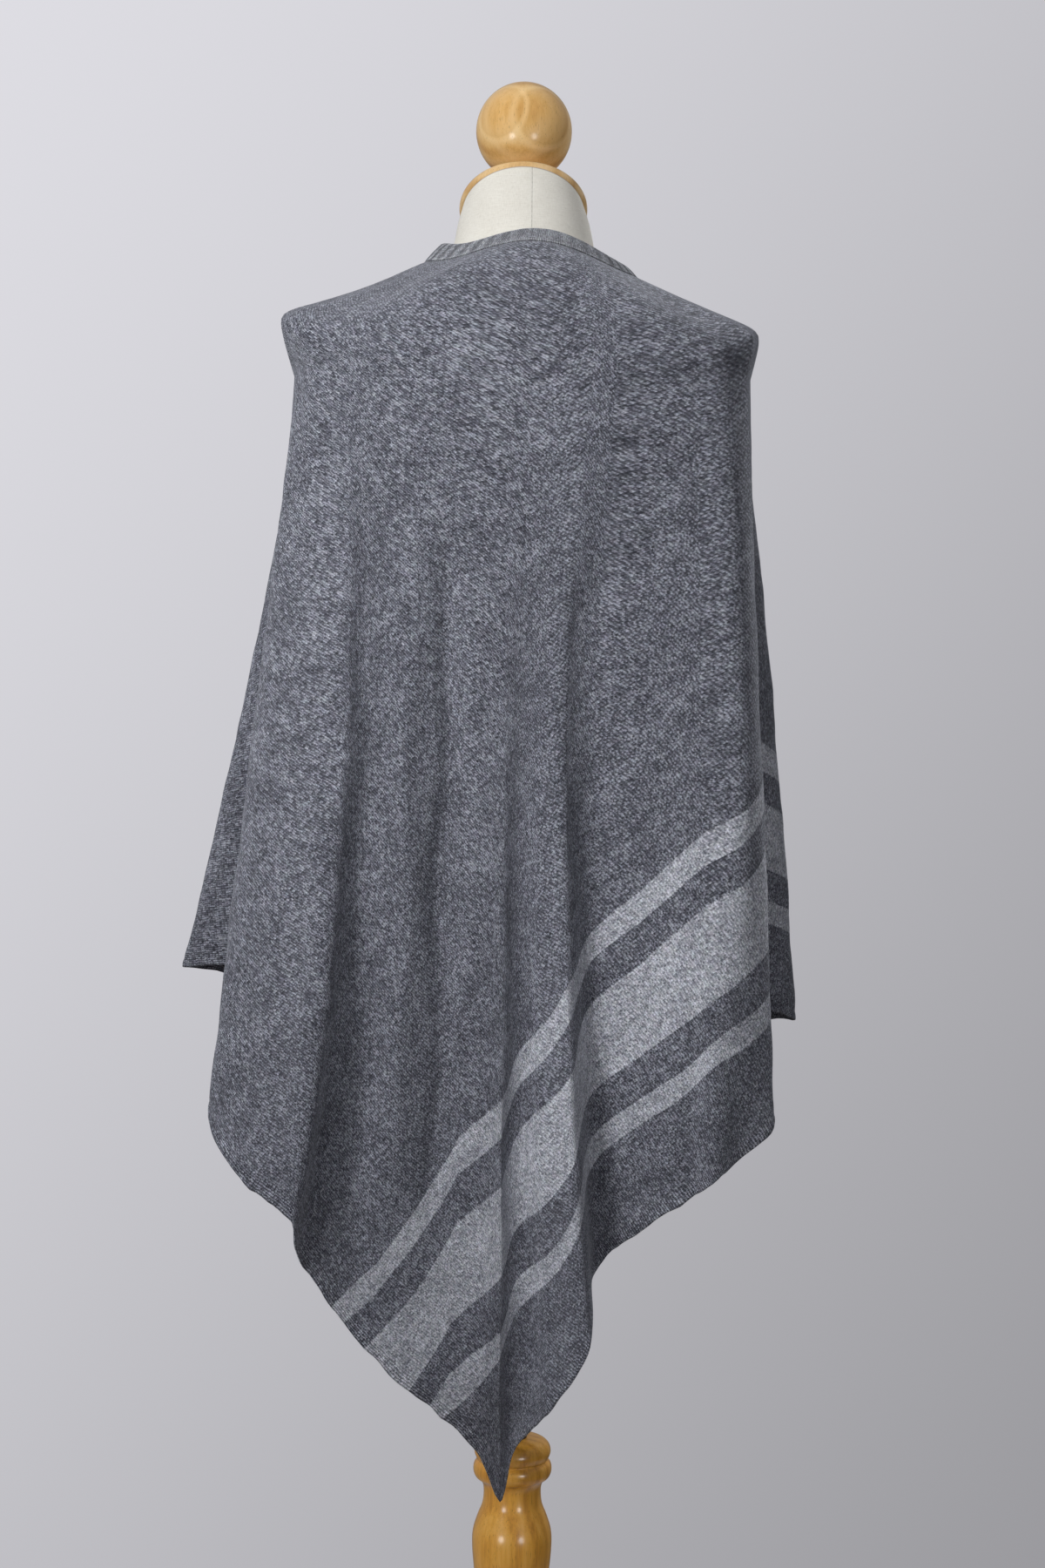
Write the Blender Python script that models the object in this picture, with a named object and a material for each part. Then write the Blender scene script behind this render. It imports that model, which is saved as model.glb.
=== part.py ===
"""Knitted square poncho sweater worn on a limbless dress form with a turned wooden stand.

Metres, +Z up. The origin is the centre of the base's underside. The wearer's back faces -Y and
the wearer's left is -X. The poncho is a wall of knitted cloth in two square panels, each hung by
one corner: the corner is cut away for the neck and the opposite corner hangs as a point.
"""
import math
from collections import namedtuple

import bpy
import numpy as np

for old in list(bpy.data.objects):
    bpy.data.objects.remove(old, do_unlink=True)

# ---------------------------------------------------------------- driving sizes of the cloth
WALL = 0.0022          # thickness of the knitted cloth
SEAM_GAP = 0.0003      # free space between two sewn pieces
PANEL_SIDE = 0.87      # side of each square panel
HANG_Z = 1.30          # below this level the cloth hangs free
WAIST_Z = 0.95         # level of the middle section in the fold tables

# ---------------------------------------------------------------- rings round the neck and shoulders
# Each ring is an ellipse or superellipse: its centre, half width, half depth, four heights and how
# much lower it is at its four corners.
Ring = namedtuple("Ring", "x y half_w half_d z_left z_back z_right z_front corner_drop power")
BAND_TOP = Ring(0.0102, 0.0115, 0.0807, 0.0665, 1.4229, 1.4218, 1.4025, 1.3670, 0.003, 2.0)
NECK_EDGE = Ring(0.0073, 0.0095, 0.0935, 0.0825, 1.4052, 1.4060, 1.3917, 1.3500, 0.004, 2.0)
SHOULDER_EDGE = Ring(-0.0030, -0.0035, 0.2120, 0.1095, 1.3580, 1.3740, 1.3440, 1.3300, 0.030, 2.5)
HANG_EDGE = Ring(0.0005, -0.0020, 0.1975, 0.1200, HANG_Z, HANG_Z, HANG_Z, HANG_Z, 0.0, 2.5)
TIP_WEIGHT = 7.0       # how sharply the cloth turns down at a shoulder tip
SLOPE_WEIGHT = 1.0     # how softly it turns down over the back and the chest
SAG_LEFT = 0.0055      # how far the shoulder line sags between the neck and the left tip
SAG_RIGHT = 0.0015
TIP_SHARE = 0.75       # place of the tip along the way from the neck to the hanging edge

# ---------------------------------------------------------------- folds
# One row for each line that runs down the cloth, a crest or a hollow of a fold. Bearing is the
# line's place round the hanging edge in degrees: 0 left side, 90 centre back, 180 right side,
# 270 centre front. Run is the distance along the hem from that panel's point.
Line = namedtuple("Line", "name bearing waist_x waist_y hem_x hem_y hem_z run")

LEFT_SEAM = Line("left side seam", 0, -0.222, -0.002, -0.250, -0.002, 0.790, 0.87)
RIGHT_SEAM = Line("right side seam", 180, 0.210, 0.002, 0.218, 0.000, 0.785, 0.87)

BACK_LINES = (
    Line("left ridge", 16, -0.228, -0.070, -0.2526, -0.100, 0.681, 0.468),
    Line("left ridge slope", 30, -0.192, -0.1140, -0.2223, -0.140, 0.629, 0.400),
    Line("first crest", 46, -0.143, -0.1500, -0.1774, -0.164, 0.5977, 0.336),
    Line("first face", 51, -0.1285, -0.1450, -0.1742, -0.144, 0.5662, 0.292),
    Line("first hollow", 56, -0.1150, -0.1410, -0.1590, -0.128, 0.5390, 0.258),
    Line("left slope, upper", 66, -0.082, -0.1395, -0.1220, -0.1180, 0.4854, 0.192),
    Line("left slope, lower", 78, -0.043, -0.1380, -0.0558, -0.1035, 0.4227, 0.084),
    Line("point slope", 83, -0.026, -0.1390, -0.0269, -0.0970, 0.3923, 0.045),
    Line("back point crest", 88, -0.011, -0.1410, -0.0100, -0.0850, 0.3547, 0.0),
    Line("back point hollow", 91.5, 0.001, -0.1385, 0.0041, -0.0895, 0.3989, 0.075),
    Line("middle slope", 96.5, 0.018, -0.139, 0.0250, -0.109, 0.430, 0.132),
    Line("middle crest", 102.5, 0.040, -0.146, 0.0624, -0.144, 0.4961, 0.190),
    Line("middle hollow", 108.5, 0.0620, -0.1305, 0.0680, -0.101, 0.548, 0.274),
    Line("right slope", 119, 0.102, -0.130, 0.1028, -0.112, 0.583, 0.330),
    Line("right crest", 134, 0.150, -0.1320, 0.1608, -0.133, 0.626, 0.406),
    Line("right hollow", 144, 0.1845, -0.1270, 0.1790, -0.118, 0.640, 0.440),
    Line("right ridge", 163, 0.2040, -0.084, 0.2149, -0.098, 0.670, 0.487),
)
FRONT_LINES = (
    Line("right front pleat", 184.7, 0.197, 0.024, 0.1860, 0.038, 0.7645, 0.7425),
    Line("right front ridge", 194, 0.2355, 0.060, 0.2555, 0.092, 0.736, 0.615),
    Line("right ridge slope", 203, 0.216, 0.078, 0.2320, 0.118, 0.7335, 0.575),
    Line("fifth front hollow", 214, 0.186, 0.090, 0.2050, 0.106, 0.690, 0.53),
    Line("fifth front crest", 228, 0.150, 0.124, 0.1650, 0.158, 0.640, 0.45),
    Line("fourth front hollow", 241, 0.112, 0.120, 0.1300, 0.110, 0.590, 0.36),
    Line("fourth front crest", 251, 0.080, 0.140, 0.0880, 0.166, 0.535, 0.27),
    Line("third front hollow", 261, 0.044, 0.130, 0.0470, 0.116, 0.478, 0.16),
    Line("front point crest", 270, 0.002, 0.148, 0.0040, 0.160, 0.420, 0.0),
    Line("second front hollow", 279, -0.042, 0.130, -0.0420, 0.118, 0.476, 0.15),
    Line("second front crest", 289, -0.082, 0.142, -0.0940, 0.168, 0.536, 0.27),
    Line("first front hollow", 300, -0.120, 0.121, -0.1380, 0.112, 0.602, 0.38),
    Line("first front crest", 313, -0.160, 0.123, -0.1880, 0.160, 0.666, 0.49),
    Line("ridge hollow", 327, -0.200, 0.092, -0.2360, 0.108, 0.716, 0.59),
    Line("left ridge front slope", 337, -0.238, 0.080, -0.2680, 0.119, 0.771, 0.645),
    Line("left front ridge", 346, -0.263, 0.058, -0.3054, 0.090, 0.779, 0.685),
    Line("left front pleat", 355.3, -0.197, 0.0215, -0.1860, 0.037, 0.7885, 0.7775),
)
# Narrow pleats hang from the shoulder tips between a ridge on the back and the side seam. Share is
# a pleat line's place on the way from the ridge to the seam.
Pleat = namedtuple("Pleat", "name share is_hollow")
BACK_PLEATS = (
    Pleat("first hollow", 0.25, True),
    Pleat("crest", 0.50, False),
    Pleat("second hollow", 0.75, True),
)
PLEAT_HOLLOW_WAIST_X = 0.191
PLEAT_HOLLOW_HEM_X = 0.176

# ---------------------------------------------------------------- fineness of the cloth
PER_SPAN = 3           # columns from one fold line to the next
BAND_ROWS = 2
SHOULDER_ROWS = 8
HANG_ROWS = 11

# ---------------------------------------------------------------- dress form
# Sections of the torso from the bottom up: level, half width, depth behind and in front of x = 0.
Section = namedtuple("Section", "z half_w back front")
TORSO_SECTIONS = (
    Section(0.740, 0.134, 0.092, 0.084),
    Section(0.748, 0.147, 0.104, 0.092),
    Section(0.800, 0.160, 0.117, 0.101),
    Section(0.870, 0.156, 0.112, 0.098),
    Section(0.940, 0.134, 0.093, 0.090),
    Section(1.000, 0.119, 0.083, 0.087),
    Section(1.060, 0.124, 0.086, 0.095),
    Section(1.120, 0.137, 0.093, 0.113),
    Section(1.170, 0.147, 0.101, 0.120),
    Section(1.220, 0.163, 0.108, 0.113),
    Section(1.270, 0.180, 0.110, 0.104),
    Section(HANG_Z, 0.1875, 0.110, 0.099),
)
TORSO_POWER = 2.5
TORSO_COLUMNS = 44
TORSO_SHOULDER = Ring(-0.0030, -0.0035, 0.2085, 0.1035, 1.3555, 1.3660, 1.3420, 1.3200, 0.030, 2.5)
TORSO_NECK_ROOT = Ring(0.0030, 0.0070, 0.0720, 0.0640, 1.4075, 1.4020, 1.3975, 1.3650, 0.004, 2.0)
TORSO_SHOULDER_ROWS = 8
NECK_R = 0.0535        # half width of the neck under its cap
NECK_DEPTH_R = 0.0520
NECK_LEVELS = (0.35, 0.70)    # sections between the neck's root and its cap
NECK_HOLLOW = 0.55     # how strongly they are drawn in
CAP_CENTRE = (0.0, 0.010, 1.4485)
CAP_TILT = math.radians(29)   # the neck is cut so that it is higher at the back
CAP_R = 0.0562
CAP_THICK = 0.0120
# Outline of the cap's rim: height as a share of half its thickness, and how far it lies inside CAP_R.
CAP_RIM = ((-1.0, 0.0045), (-0.65, 0.0012), (0.0, 0.0), (0.65, 0.0012), (1.0, 0.0050))
REST_GAP = 0.0003      # free space where one rigid piece rests on another

# ---------------------------------------------------------------- stand
BALL_R = 0.042
BALL_Z = 1.522
BALL_LEVELS = 13
BALL_TOP_DEG = 84      # the ball's small flat crown begins here above its equator
STEM_R = 0.0140
POLE_R = 0.0125
# Outline of the turned column from the base up: level and radius.
COLUMN_PROFILE = (
    (0.0283, 0.0480), (0.0340, 0.0520), (0.0440, 0.0520), (0.0500, 0.0470), (0.0560, 0.0370),
    (0.0750, 0.0300), (0.1050, 0.0255), (0.1350, 0.0250), (0.1420, 0.0300), (0.1520, 0.0315),
    (0.1620, 0.0300), (0.1680, 0.0250), (0.1900, 0.0262), (0.2250, 0.0290), (0.2600, 0.0322),
    (0.2850, 0.0345), (0.3000, 0.0340), (0.3130, 0.0300), (0.3240, 0.0258), (0.3370, 0.0250),
    (0.3440, 0.0275), (0.3470, 0.0318), (0.3520, 0.0340), (0.3580, 0.0335), (0.3615, 0.0305),
    (0.3635, 0.0315), (0.3690, 0.0333), (0.3750, 0.0315), (0.3790, 0.0260), (0.3805, 0.0180),
)
BASE_PROFILE = (
    (0.0000, 0.1680), (0.0060, 0.1740), (0.0140, 0.1750), (0.0190, 0.1720), (0.0220, 0.1640),
    (0.0235, 0.1450), (0.0250, 0.1000), (0.0280, 0.0560),
)
TURNED_COLUMNS = 30
BASE_COLUMNS = 48
POLE_COLUMNS = 24


# ---------------------------------------------------------------- small helpers
def material(name, color, roughness, metallic=0.0):
    """A plain Principled material."""
    made = bpy.data.materials.new(name)
    made.use_nodes = True
    shader = made.node_tree.nodes["Principled BSDF"]
    shader.inputs["Base Color"].default_value = (*color, 1.0)
    shader.inputs["Roughness"].default_value = roughness
    shader.inputs["Metallic"].default_value = metallic
    return made


def add_object(name, points, faces, finish, sharp_deg=50):
    """One closed mesh as one named object, shaded smooth."""
    mesh = bpy.data.meshes.new(name)
    mesh.from_pydata([tuple(map(float, point)) for point in points], [], faces)
    mesh.validate()
    mesh.materials.append(finish)
    mesh.shade_smooth()
    mesh.set_sharp_from_angle(angle=math.radians(sharp_deg))
    made = bpy.data.objects.new(name, mesh)
    bpy.context.scene.collection.objects.link(made)
    return made


def ring_points(ring, bearings):
    """Points of a ring at the given bearings in degrees, one row each."""
    turn = np.radians(bearings)
    cos, sin = np.cos(turn), np.sin(turn)
    shape = 2.0 / ring.power
    x = ring.x - ring.half_w * np.sign(cos) * np.abs(cos) ** shape
    y = ring.y - ring.half_d * np.sign(sin) * np.abs(sin) ** shape
    side_z = (ring.z_left + ring.z_right) / 2 + cos * (ring.z_left - ring.z_right) / 2
    face_z = (ring.z_back + ring.z_front) / 2 + sin * (ring.z_back - ring.z_front) / 2
    drop = ring.corner_drop * np.sin(2 * turn) ** 2
    return np.column_stack([x, y, cos**2 * side_z + sin**2 * face_z - drop])


def even_steps(path, count):
    """Count + 1 points at equal distances along a finely sampled path."""
    steps = np.linalg.norm(np.diff(path, axis=0), axis=1)
    run = np.concatenate([[0.0], np.cumsum(steps)])
    at = np.linspace(0.0, run[-1], count + 1)
    return np.column_stack([np.interp(at, run, path[:, axis]) for axis in range(3)])


def shoulder_path(bearing, start, knee, end, steps):
    """From the neck over the shoulder: a curve drawn to the knee, sharply at a shoulder tip."""
    cos = math.cos(math.radians(bearing))
    weight = SLOPE_WEIGHT + (TIP_WEIGHT - SLOPE_WEIGHT) * cos**4
    u = np.linspace(0.0, 1.0, 160)[:, None]
    near, middle, far = (1 - u) ** 2, 2 * weight * u * (1 - u), u**2
    path = even_steps((near * start + middle * knee + far * end) / (near + middle + far), steps)
    sag = (SAG_LEFT if cos > 0 else SAG_RIGHT) * cos**4
    share = np.minimum(np.linspace(0.0, 1.0, steps + 1) / TIP_SHARE, 1.0)
    path[:, 2] -= sag * np.sin(math.pi * share)
    return path


# ---------------------------------------------------------------- the cloth's surface
def pleat_lines(ridge, seam, side):
    """The narrow pleats between a ridge on the back and the side seam."""
    made = []
    for pleat in BACK_PLEATS:
        mix = {key: (1 - pleat.share) * getattr(ridge, key) + pleat.share * getattr(seam, key)
               for key in Line._fields if key != "name"}
        if pleat.is_hollow:
            mix["waist_x"] = side * PLEAT_HOLLOW_WAIST_X
            mix["hem_x"] = side * PLEAT_HOLLOW_HEM_X
        made.append(Line(pleat.name, **mix))
    return made


def all_lines():
    """Every fold line in order round the cloth, and the places of the two seams and two points."""
    left = pleat_lines(BACK_LINES[0], LEFT_SEAM, -1)[::-1]
    right = pleat_lines(BACK_LINES[-1], RIGHT_SEAM, 1)
    lines = [LEFT_SEAM, *left, *BACK_LINES, *right, RIGHT_SEAM, *FRONT_LINES]
    names = [line.name for line in lines]
    marks = [names.index(name) for name in
             ("left side seam", "back point crest", "right side seam", "front point crest")]
    return lines, marks


def neck_bearing(index, line, marks):
    """Place of a line round the neck: even along the hem from a side seam to a point."""
    left, back, right, front = marks
    share = line.run / PANEL_SIDE
    if index <= right:
        return 90 - 90 * share if index <= back else 90 + 90 * share
    return 270 - 90 * share if index <= front else 270 + 90 * share


def hanging_path(line, start, count=60):
    """The line below the shoulders: a smooth curve through its three levels."""
    z = np.linspace(HANG_Z, line.hem_z, count)
    level = (HANG_Z, WAIST_Z, line.hem_z)
    path = np.zeros((count, 3))
    path[:, 2] = z
    for axis, value in enumerate(((start[0], line.waist_x, line.hem_x),
                                  (start[1], line.waist_y, line.hem_y))):
        for i in range(3):
            j, k = (i + 1) % 3, (i + 2) % 3
            weight = (z - level[j]) * (z - level[k])
            path[:, axis] += value[i] * weight / ((level[i] - level[j]) * (level[i] - level[k]))
    return path


def line_paths(lines, marks):
    """Points of every line from the band's top to the hem: rows, lines, xyz."""
    made = []
    for index, line in enumerate(lines):
        at_neck = neck_bearing(index, line, marks)
        top = ring_points(BAND_TOP, [at_neck])[0]
        neck = ring_points(NECK_EDGE, [at_neck])[0]
        knee = ring_points(SHOULDER_EDGE, [line.bearing])[0]
        hang = ring_points(HANG_EDGE, [line.bearing])[0]
        band = even_steps(np.array([top, neck]), BAND_ROWS)
        shoulder = shoulder_path(line.bearing, neck, knee, hang, SHOULDER_ROWS)
        below = even_steps(hanging_path(line, hang), HANG_ROWS)
        made.append(np.vstack([band[:-1], shoulder[:-1], below]))
    return np.array(made).transpose(1, 0, 2)


def round_the_body(paths, marks):
    """A smooth closed curve through the lines at each row: rows, columns, xyz."""
    rows, count, _ = paths.shape
    step = np.linalg.norm(np.roll(paths, -1, axis=1) - paths, axis=2) ** 0.5
    slope = (np.roll(paths, -1, axis=1) - paths) / step[..., None]
    before = np.roll(slope, 1, axis=1)
    step_before = np.roll(step, 1, axis=1)
    share = (step_before / (step + step_before))[..., None]
    tangent = before * (1 - share) + slope * share
    leave, arrive = tangent.copy(), tangent.copy()
    for mark in marks:
        leave[:, mark, 2] = slope[:, mark, 2]
        arrive[:, mark, 2] = before[:, mark, 2]
    grid = np.zeros((rows, count * PER_SPAN, 3))
    for part in range(PER_SPAN):
        v = part / PER_SPAN
        here = (2 * v**3 - 3 * v**2 + 1) * paths + (3 * v**2 - 2 * v**3) * np.roll(paths, -1, axis=1)
        bend = (v**3 - 2 * v**2 + v) * leave + (v**3 - v**2) * np.roll(arrive, -1, axis=1)
        grid[:, part::PER_SPAN] = here + bend * step[..., None]
    return grid


def outward(grid):
    """Unit normals of a grid whose columns go round and whose rows go down."""
    down = np.gradient(grid, axis=0)
    along = np.roll(grid, -1, axis=1) - np.roll(grid, 1, axis=1)
    normal = np.cross(down, along)
    return normal / np.linalg.norm(normal, axis=2, keepdims=True)


def parted(edge, before, after, distance):
    """An edge moved along the way from the points on one side of it to those on the other."""
    way = after - before
    return edge + way * (distance / np.linalg.norm(way, axis=1, keepdims=True))


def wall_solid(name, outer, normal, finish, closed):
    """A wall behind the outer points as one closed mesh, open or closed round its columns."""
    rows, columns, _ = outer.shape
    inner = outer - normal * WALL
    points = np.concatenate([outer.reshape(-1, 3), inner.reshape(-1, 3)])
    behind = rows * columns
    spans = columns if closed else columns - 1

    def at(row, column, side=0):
        return side * behind + row * columns + column % columns

    faces = []
    for row in range(rows - 1):
        for column in range(spans):
            right = column + 1
            faces.append((at(row, column), at(row + 1, column), at(row + 1, right), at(row, right)))
            faces.append((at(row, column, 1), at(row, right, 1),
                          at(row + 1, right, 1), at(row + 1, column, 1)))
    for column in range(spans):
        right, last = column + 1, rows - 1
        faces.append((at(0, column), at(0, right), at(0, right, 1), at(0, column, 1)))
        faces.append((at(last, column), at(last, column, 1),
                      at(last, right, 1), at(last, right)))
    if not closed:
        for row in range(rows - 1):
            last = columns - 1
            faces.append((at(row, 0), at(row, 0, 1), at(row + 1, 0, 1), at(row + 1, 0)))
            faces.append((at(row, last), at(row + 1, last),
                          at(row + 1, last, 1), at(row, last, 1)))
    return add_object(name, points, faces, finish)


def build_poncho():
    """Back panel, front panel and neckband from one surface."""
    lines, marks = all_lines()
    grid = round_the_body(line_paths(lines, marks), marks)
    normal = outward(grid)
    half_gap = SEAM_GAP / 2
    dark_knit = material("dark_knit", (0.150, 0.157, 0.185), 0.95)
    light_knit = material("light_knit", (0.360, 0.375, 0.410), 0.95)

    band = grid[: BAND_ROWS + 1].copy()
    body = grid[BAND_ROWS:].copy()
    above, below = grid[BAND_ROWS - 1], grid[BAND_ROWS + 1]
    band[-1] = parted(band[-1], above, below, -half_gap)
    body[0] = parted(body[0], above, below, half_gap)
    wall_solid("neckband", band, normal[: BAND_ROWS + 1], light_knit, closed=True)

    body_normal = normal[BAND_ROWS:]
    split = marks[2] * PER_SPAN
    ring = np.concatenate([body, body[:, :1]], axis=1)
    ring_normal = np.concatenate([body_normal, body_normal[:, :1]], axis=1)
    for name, start, end in (("back_panel", 0, split), ("front_panel", split, body.shape[1])):
        panel = ring[:, start:end + 1].copy()
        for edge, column, distance in ((0, start, half_gap), (-1, end % body.shape[1], -half_gap)):
            panel[:, edge] = parted(panel[:, edge], body[:, column - 1], body[:, column + 1], distance)
        wall_solid(name, panel, ring_normal[:, start:end + 1], dark_knit, closed=False)


# ---------------------------------------------------------------- the dress form and its stand
def lofted(name, rings, finish, sharp_deg=50):
    """A closed body through rings of points from the bottom up, with flat ends."""
    count = len(rings[0])
    points = np.concatenate(rings)
    faces = [tuple(range(count))[::-1]]
    for level in range(len(rings) - 1):
        for i in range(count):
            right = (i + 1) % count
            faces.append((level * count + i, level * count + right,
                          (level + 1) * count + right, (level + 1) * count + i))
    faces.append(tuple(range((len(rings) - 1) * count, len(rings) * count)))
    return add_object(name, points, faces, finish, sharp_deg)


def torso_section(section, bearings):
    """One level section of the torso."""
    turn = np.radians(bearings)
    cos, sin = np.cos(turn), np.sin(turn)
    shape = 2.0 / TORSO_POWER
    depth = np.where(sin > 0, section.back, section.front)
    x = -section.half_w * np.sign(cos) * np.abs(cos) ** shape
    y = -depth * np.sign(sin) * np.abs(sin) ** shape
    return np.column_stack([x, y, np.full(len(turn), section.z)])


def cap_plane_z(x, y, lift):
    """Height of the plane on which the neck is cut, raised by lift along its normal."""
    return CAP_CENTRE[2] + lift / math.cos(CAP_TILT) - (y - CAP_CENTRE[1]) * math.tan(CAP_TILT)


def build_torso():
    """The limbless torso: level sections, rounded shoulders and a neck cut at a slant."""
    bearings = np.arange(TORSO_COLUMNS) * 360.0 / TORSO_COLUMNS
    rings = [torso_section(section, bearings) for section in TORSO_SECTIONS]
    shoulder_paths = []
    for bearing, low in zip(bearings, rings[-1]):
        knee = ring_points(TORSO_SHOULDER, [bearing])[0]
        root = ring_points(TORSO_NECK_ROOT, [bearing])[0]
        path = shoulder_path(bearing, root, knee, low, TORSO_SHOULDER_ROWS)
        shoulder_paths.append(path[::-1])
    shoulder = np.array(shoulder_paths).transpose(1, 0, 2)
    rings.extend(shoulder[1:])
    turn = np.radians(bearings)
    x = -NECK_R * np.cos(turn)
    y = CAP_CENTRE[1] - NECK_DEPTH_R * np.sin(turn)
    top = np.column_stack([x, y, cap_plane_z(x, y, -REST_GAP)])
    root = shoulder[-1]
    for share in NECK_LEVELS:
        ring = root + (top - root) * share
        pull = NECK_HOLLOW * math.sin(math.pi * share) * (1 - share)
        ring[:, :2] += (top[:, :2] - ring[:, :2]) * pull
        rings.append(ring)
    rings.append(top)
    lofted("torso", rings, material("linen", (0.740, 0.720, 0.650), 0.9))


def turned(name, profile, finish, count):
    """A turned body on the Z axis from its outline of levels and radii."""
    turn = np.arange(count) * 2 * math.pi / count
    rings = []
    for z, radius in profile:
        rings.append(np.column_stack([radius * np.cos(turn), radius * np.sin(turn),
                                      np.full(count, z)]))
    return lofted(name, rings, finish)


def build_neck_cap(wood):
    """The slanted wooden disc that closes the neck, with a rounded rim."""
    rings = []
    turn = np.arange(TURNED_COLUMNS) * 2 * math.pi / TURNED_COLUMNS
    for height, inset in CAP_RIM:
        radius = CAP_R - inset
        flat_y = radius * np.sin(turn)
        lift = CAP_THICK / 2 * (1 + height)
        y = CAP_CENTRE[1] + flat_y * math.cos(CAP_TILT) + lift * math.sin(CAP_TILT)
        z = CAP_CENTRE[2] - flat_y * math.sin(CAP_TILT) + lift * math.cos(CAP_TILT)
        rings.append(np.column_stack([radius * np.cos(turn), y, z]))
    lofted("neck_cap", rings, wood)


def build_finial(wood):
    """The wooden ball with the short stem that stands on the neck cap."""
    turn = np.arange(TURNED_COLUMNS) * 2 * math.pi / TURNED_COLUMNS
    x, y = STEM_R * np.cos(turn), CAP_CENTRE[1] + STEM_R * np.sin(turn)
    rings = [np.column_stack([x, y, cap_plane_z(x, y, CAP_THICK + REST_GAP)])]
    low, high = -math.acos(STEM_R / BALL_R), math.radians(BALL_TOP_DEG)
    for rise in np.linspace(low, high, BALL_LEVELS + 1):
        radius = BALL_R * math.cos(rise)
        rings.append(np.column_stack([radius * np.cos(turn), CAP_CENTRE[1] + radius * np.sin(turn),
                                      np.full(len(turn), BALL_Z + BALL_R * math.sin(rise))]))
    lofted("finial", rings, wood, 60)


def build_stand():
    """Base, turned column and the pole that carries the torso."""
    wood = material("honey_wood", (0.620, 0.440, 0.230), 0.28)
    metal = material("pole_metal", (0.120, 0.115, 0.110), 0.35, metallic=1.0)
    turned("base", BASE_PROFILE, wood, BASE_COLUMNS)
    turned("column", COLUMN_PROFILE, wood, TURNED_COLUMNS)
    pole_low = COLUMN_PROFILE[-1][0] + REST_GAP
    pole_high = TORSO_SECTIONS[0].z - REST_GAP
    turned("pole", ((pole_low, POLE_R), (pole_high, POLE_R)), metal, POLE_COLUMNS)
    build_neck_cap(wood)
    build_finial(wood)


build_poncho()
build_torso()
build_stand()
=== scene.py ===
"""Looks of a knitted poncho sweater on a dress form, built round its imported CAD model.

Metres, +Z up, the wearer's back faces -Y. The camera looks at the back, as in the photograph.
"""
import math
from collections import namedtuple
from functools import partialmethod, reduce

import bpy
import numpy as np
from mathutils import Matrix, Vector, noise


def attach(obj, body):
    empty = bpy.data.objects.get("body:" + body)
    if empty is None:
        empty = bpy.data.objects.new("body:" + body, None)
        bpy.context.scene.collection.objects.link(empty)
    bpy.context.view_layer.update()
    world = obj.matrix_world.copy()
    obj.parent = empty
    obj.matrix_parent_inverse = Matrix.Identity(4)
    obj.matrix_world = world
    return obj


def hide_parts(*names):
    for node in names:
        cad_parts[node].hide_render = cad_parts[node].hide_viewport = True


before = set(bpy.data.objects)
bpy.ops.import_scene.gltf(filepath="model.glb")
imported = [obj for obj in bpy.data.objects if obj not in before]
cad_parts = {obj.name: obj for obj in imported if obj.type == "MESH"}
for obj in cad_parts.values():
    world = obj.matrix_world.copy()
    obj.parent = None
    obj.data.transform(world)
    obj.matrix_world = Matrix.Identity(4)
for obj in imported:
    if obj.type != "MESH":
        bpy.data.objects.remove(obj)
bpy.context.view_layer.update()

# ---------------------------------------------------------------- cloth sizes and folds, as in the CAD
WALL = 0.0022
PANEL_SIDE = 0.87
NECK_LEG = 0.18        # cut off each side of the neck corner
HANG_Z = 1.30
WAIST_Z = 0.95
BAND_DEPTH = 0.022
SEAM_GAP = 0.0001      # less than in the CAD model, so that the seams look closed

Ring = namedtuple("Ring", "x y half_w half_d z_left z_back z_right z_front corner_drop power")
BAND_TOP = Ring(0.0102, 0.0115, 0.0807, 0.0665, 1.4229, 1.4218, 1.4025, 1.3670, 0.003, 2.0)
NECK_EDGE = Ring(0.0073, 0.0095, 0.0935, 0.0825, 1.4052, 1.4060, 1.3917, 1.3500, 0.004, 2.0)
SHOULDER_EDGE = Ring(-0.0030, -0.0035, 0.2120, 0.1095, 1.3580, 1.3740, 1.3440, 1.3300, 0.030, 2.5)
HANG_EDGE = Ring(0.0005, -0.0020, 0.1975, 0.1200, HANG_Z, HANG_Z, HANG_Z, HANG_Z, 0.0, 2.5)
TIP_WEIGHT = 7.0
SLOPE_WEIGHT = 1.0
SAG_LEFT = 0.0055
SAG_RIGHT = 0.0015
TIP_SHARE = 0.75

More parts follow.
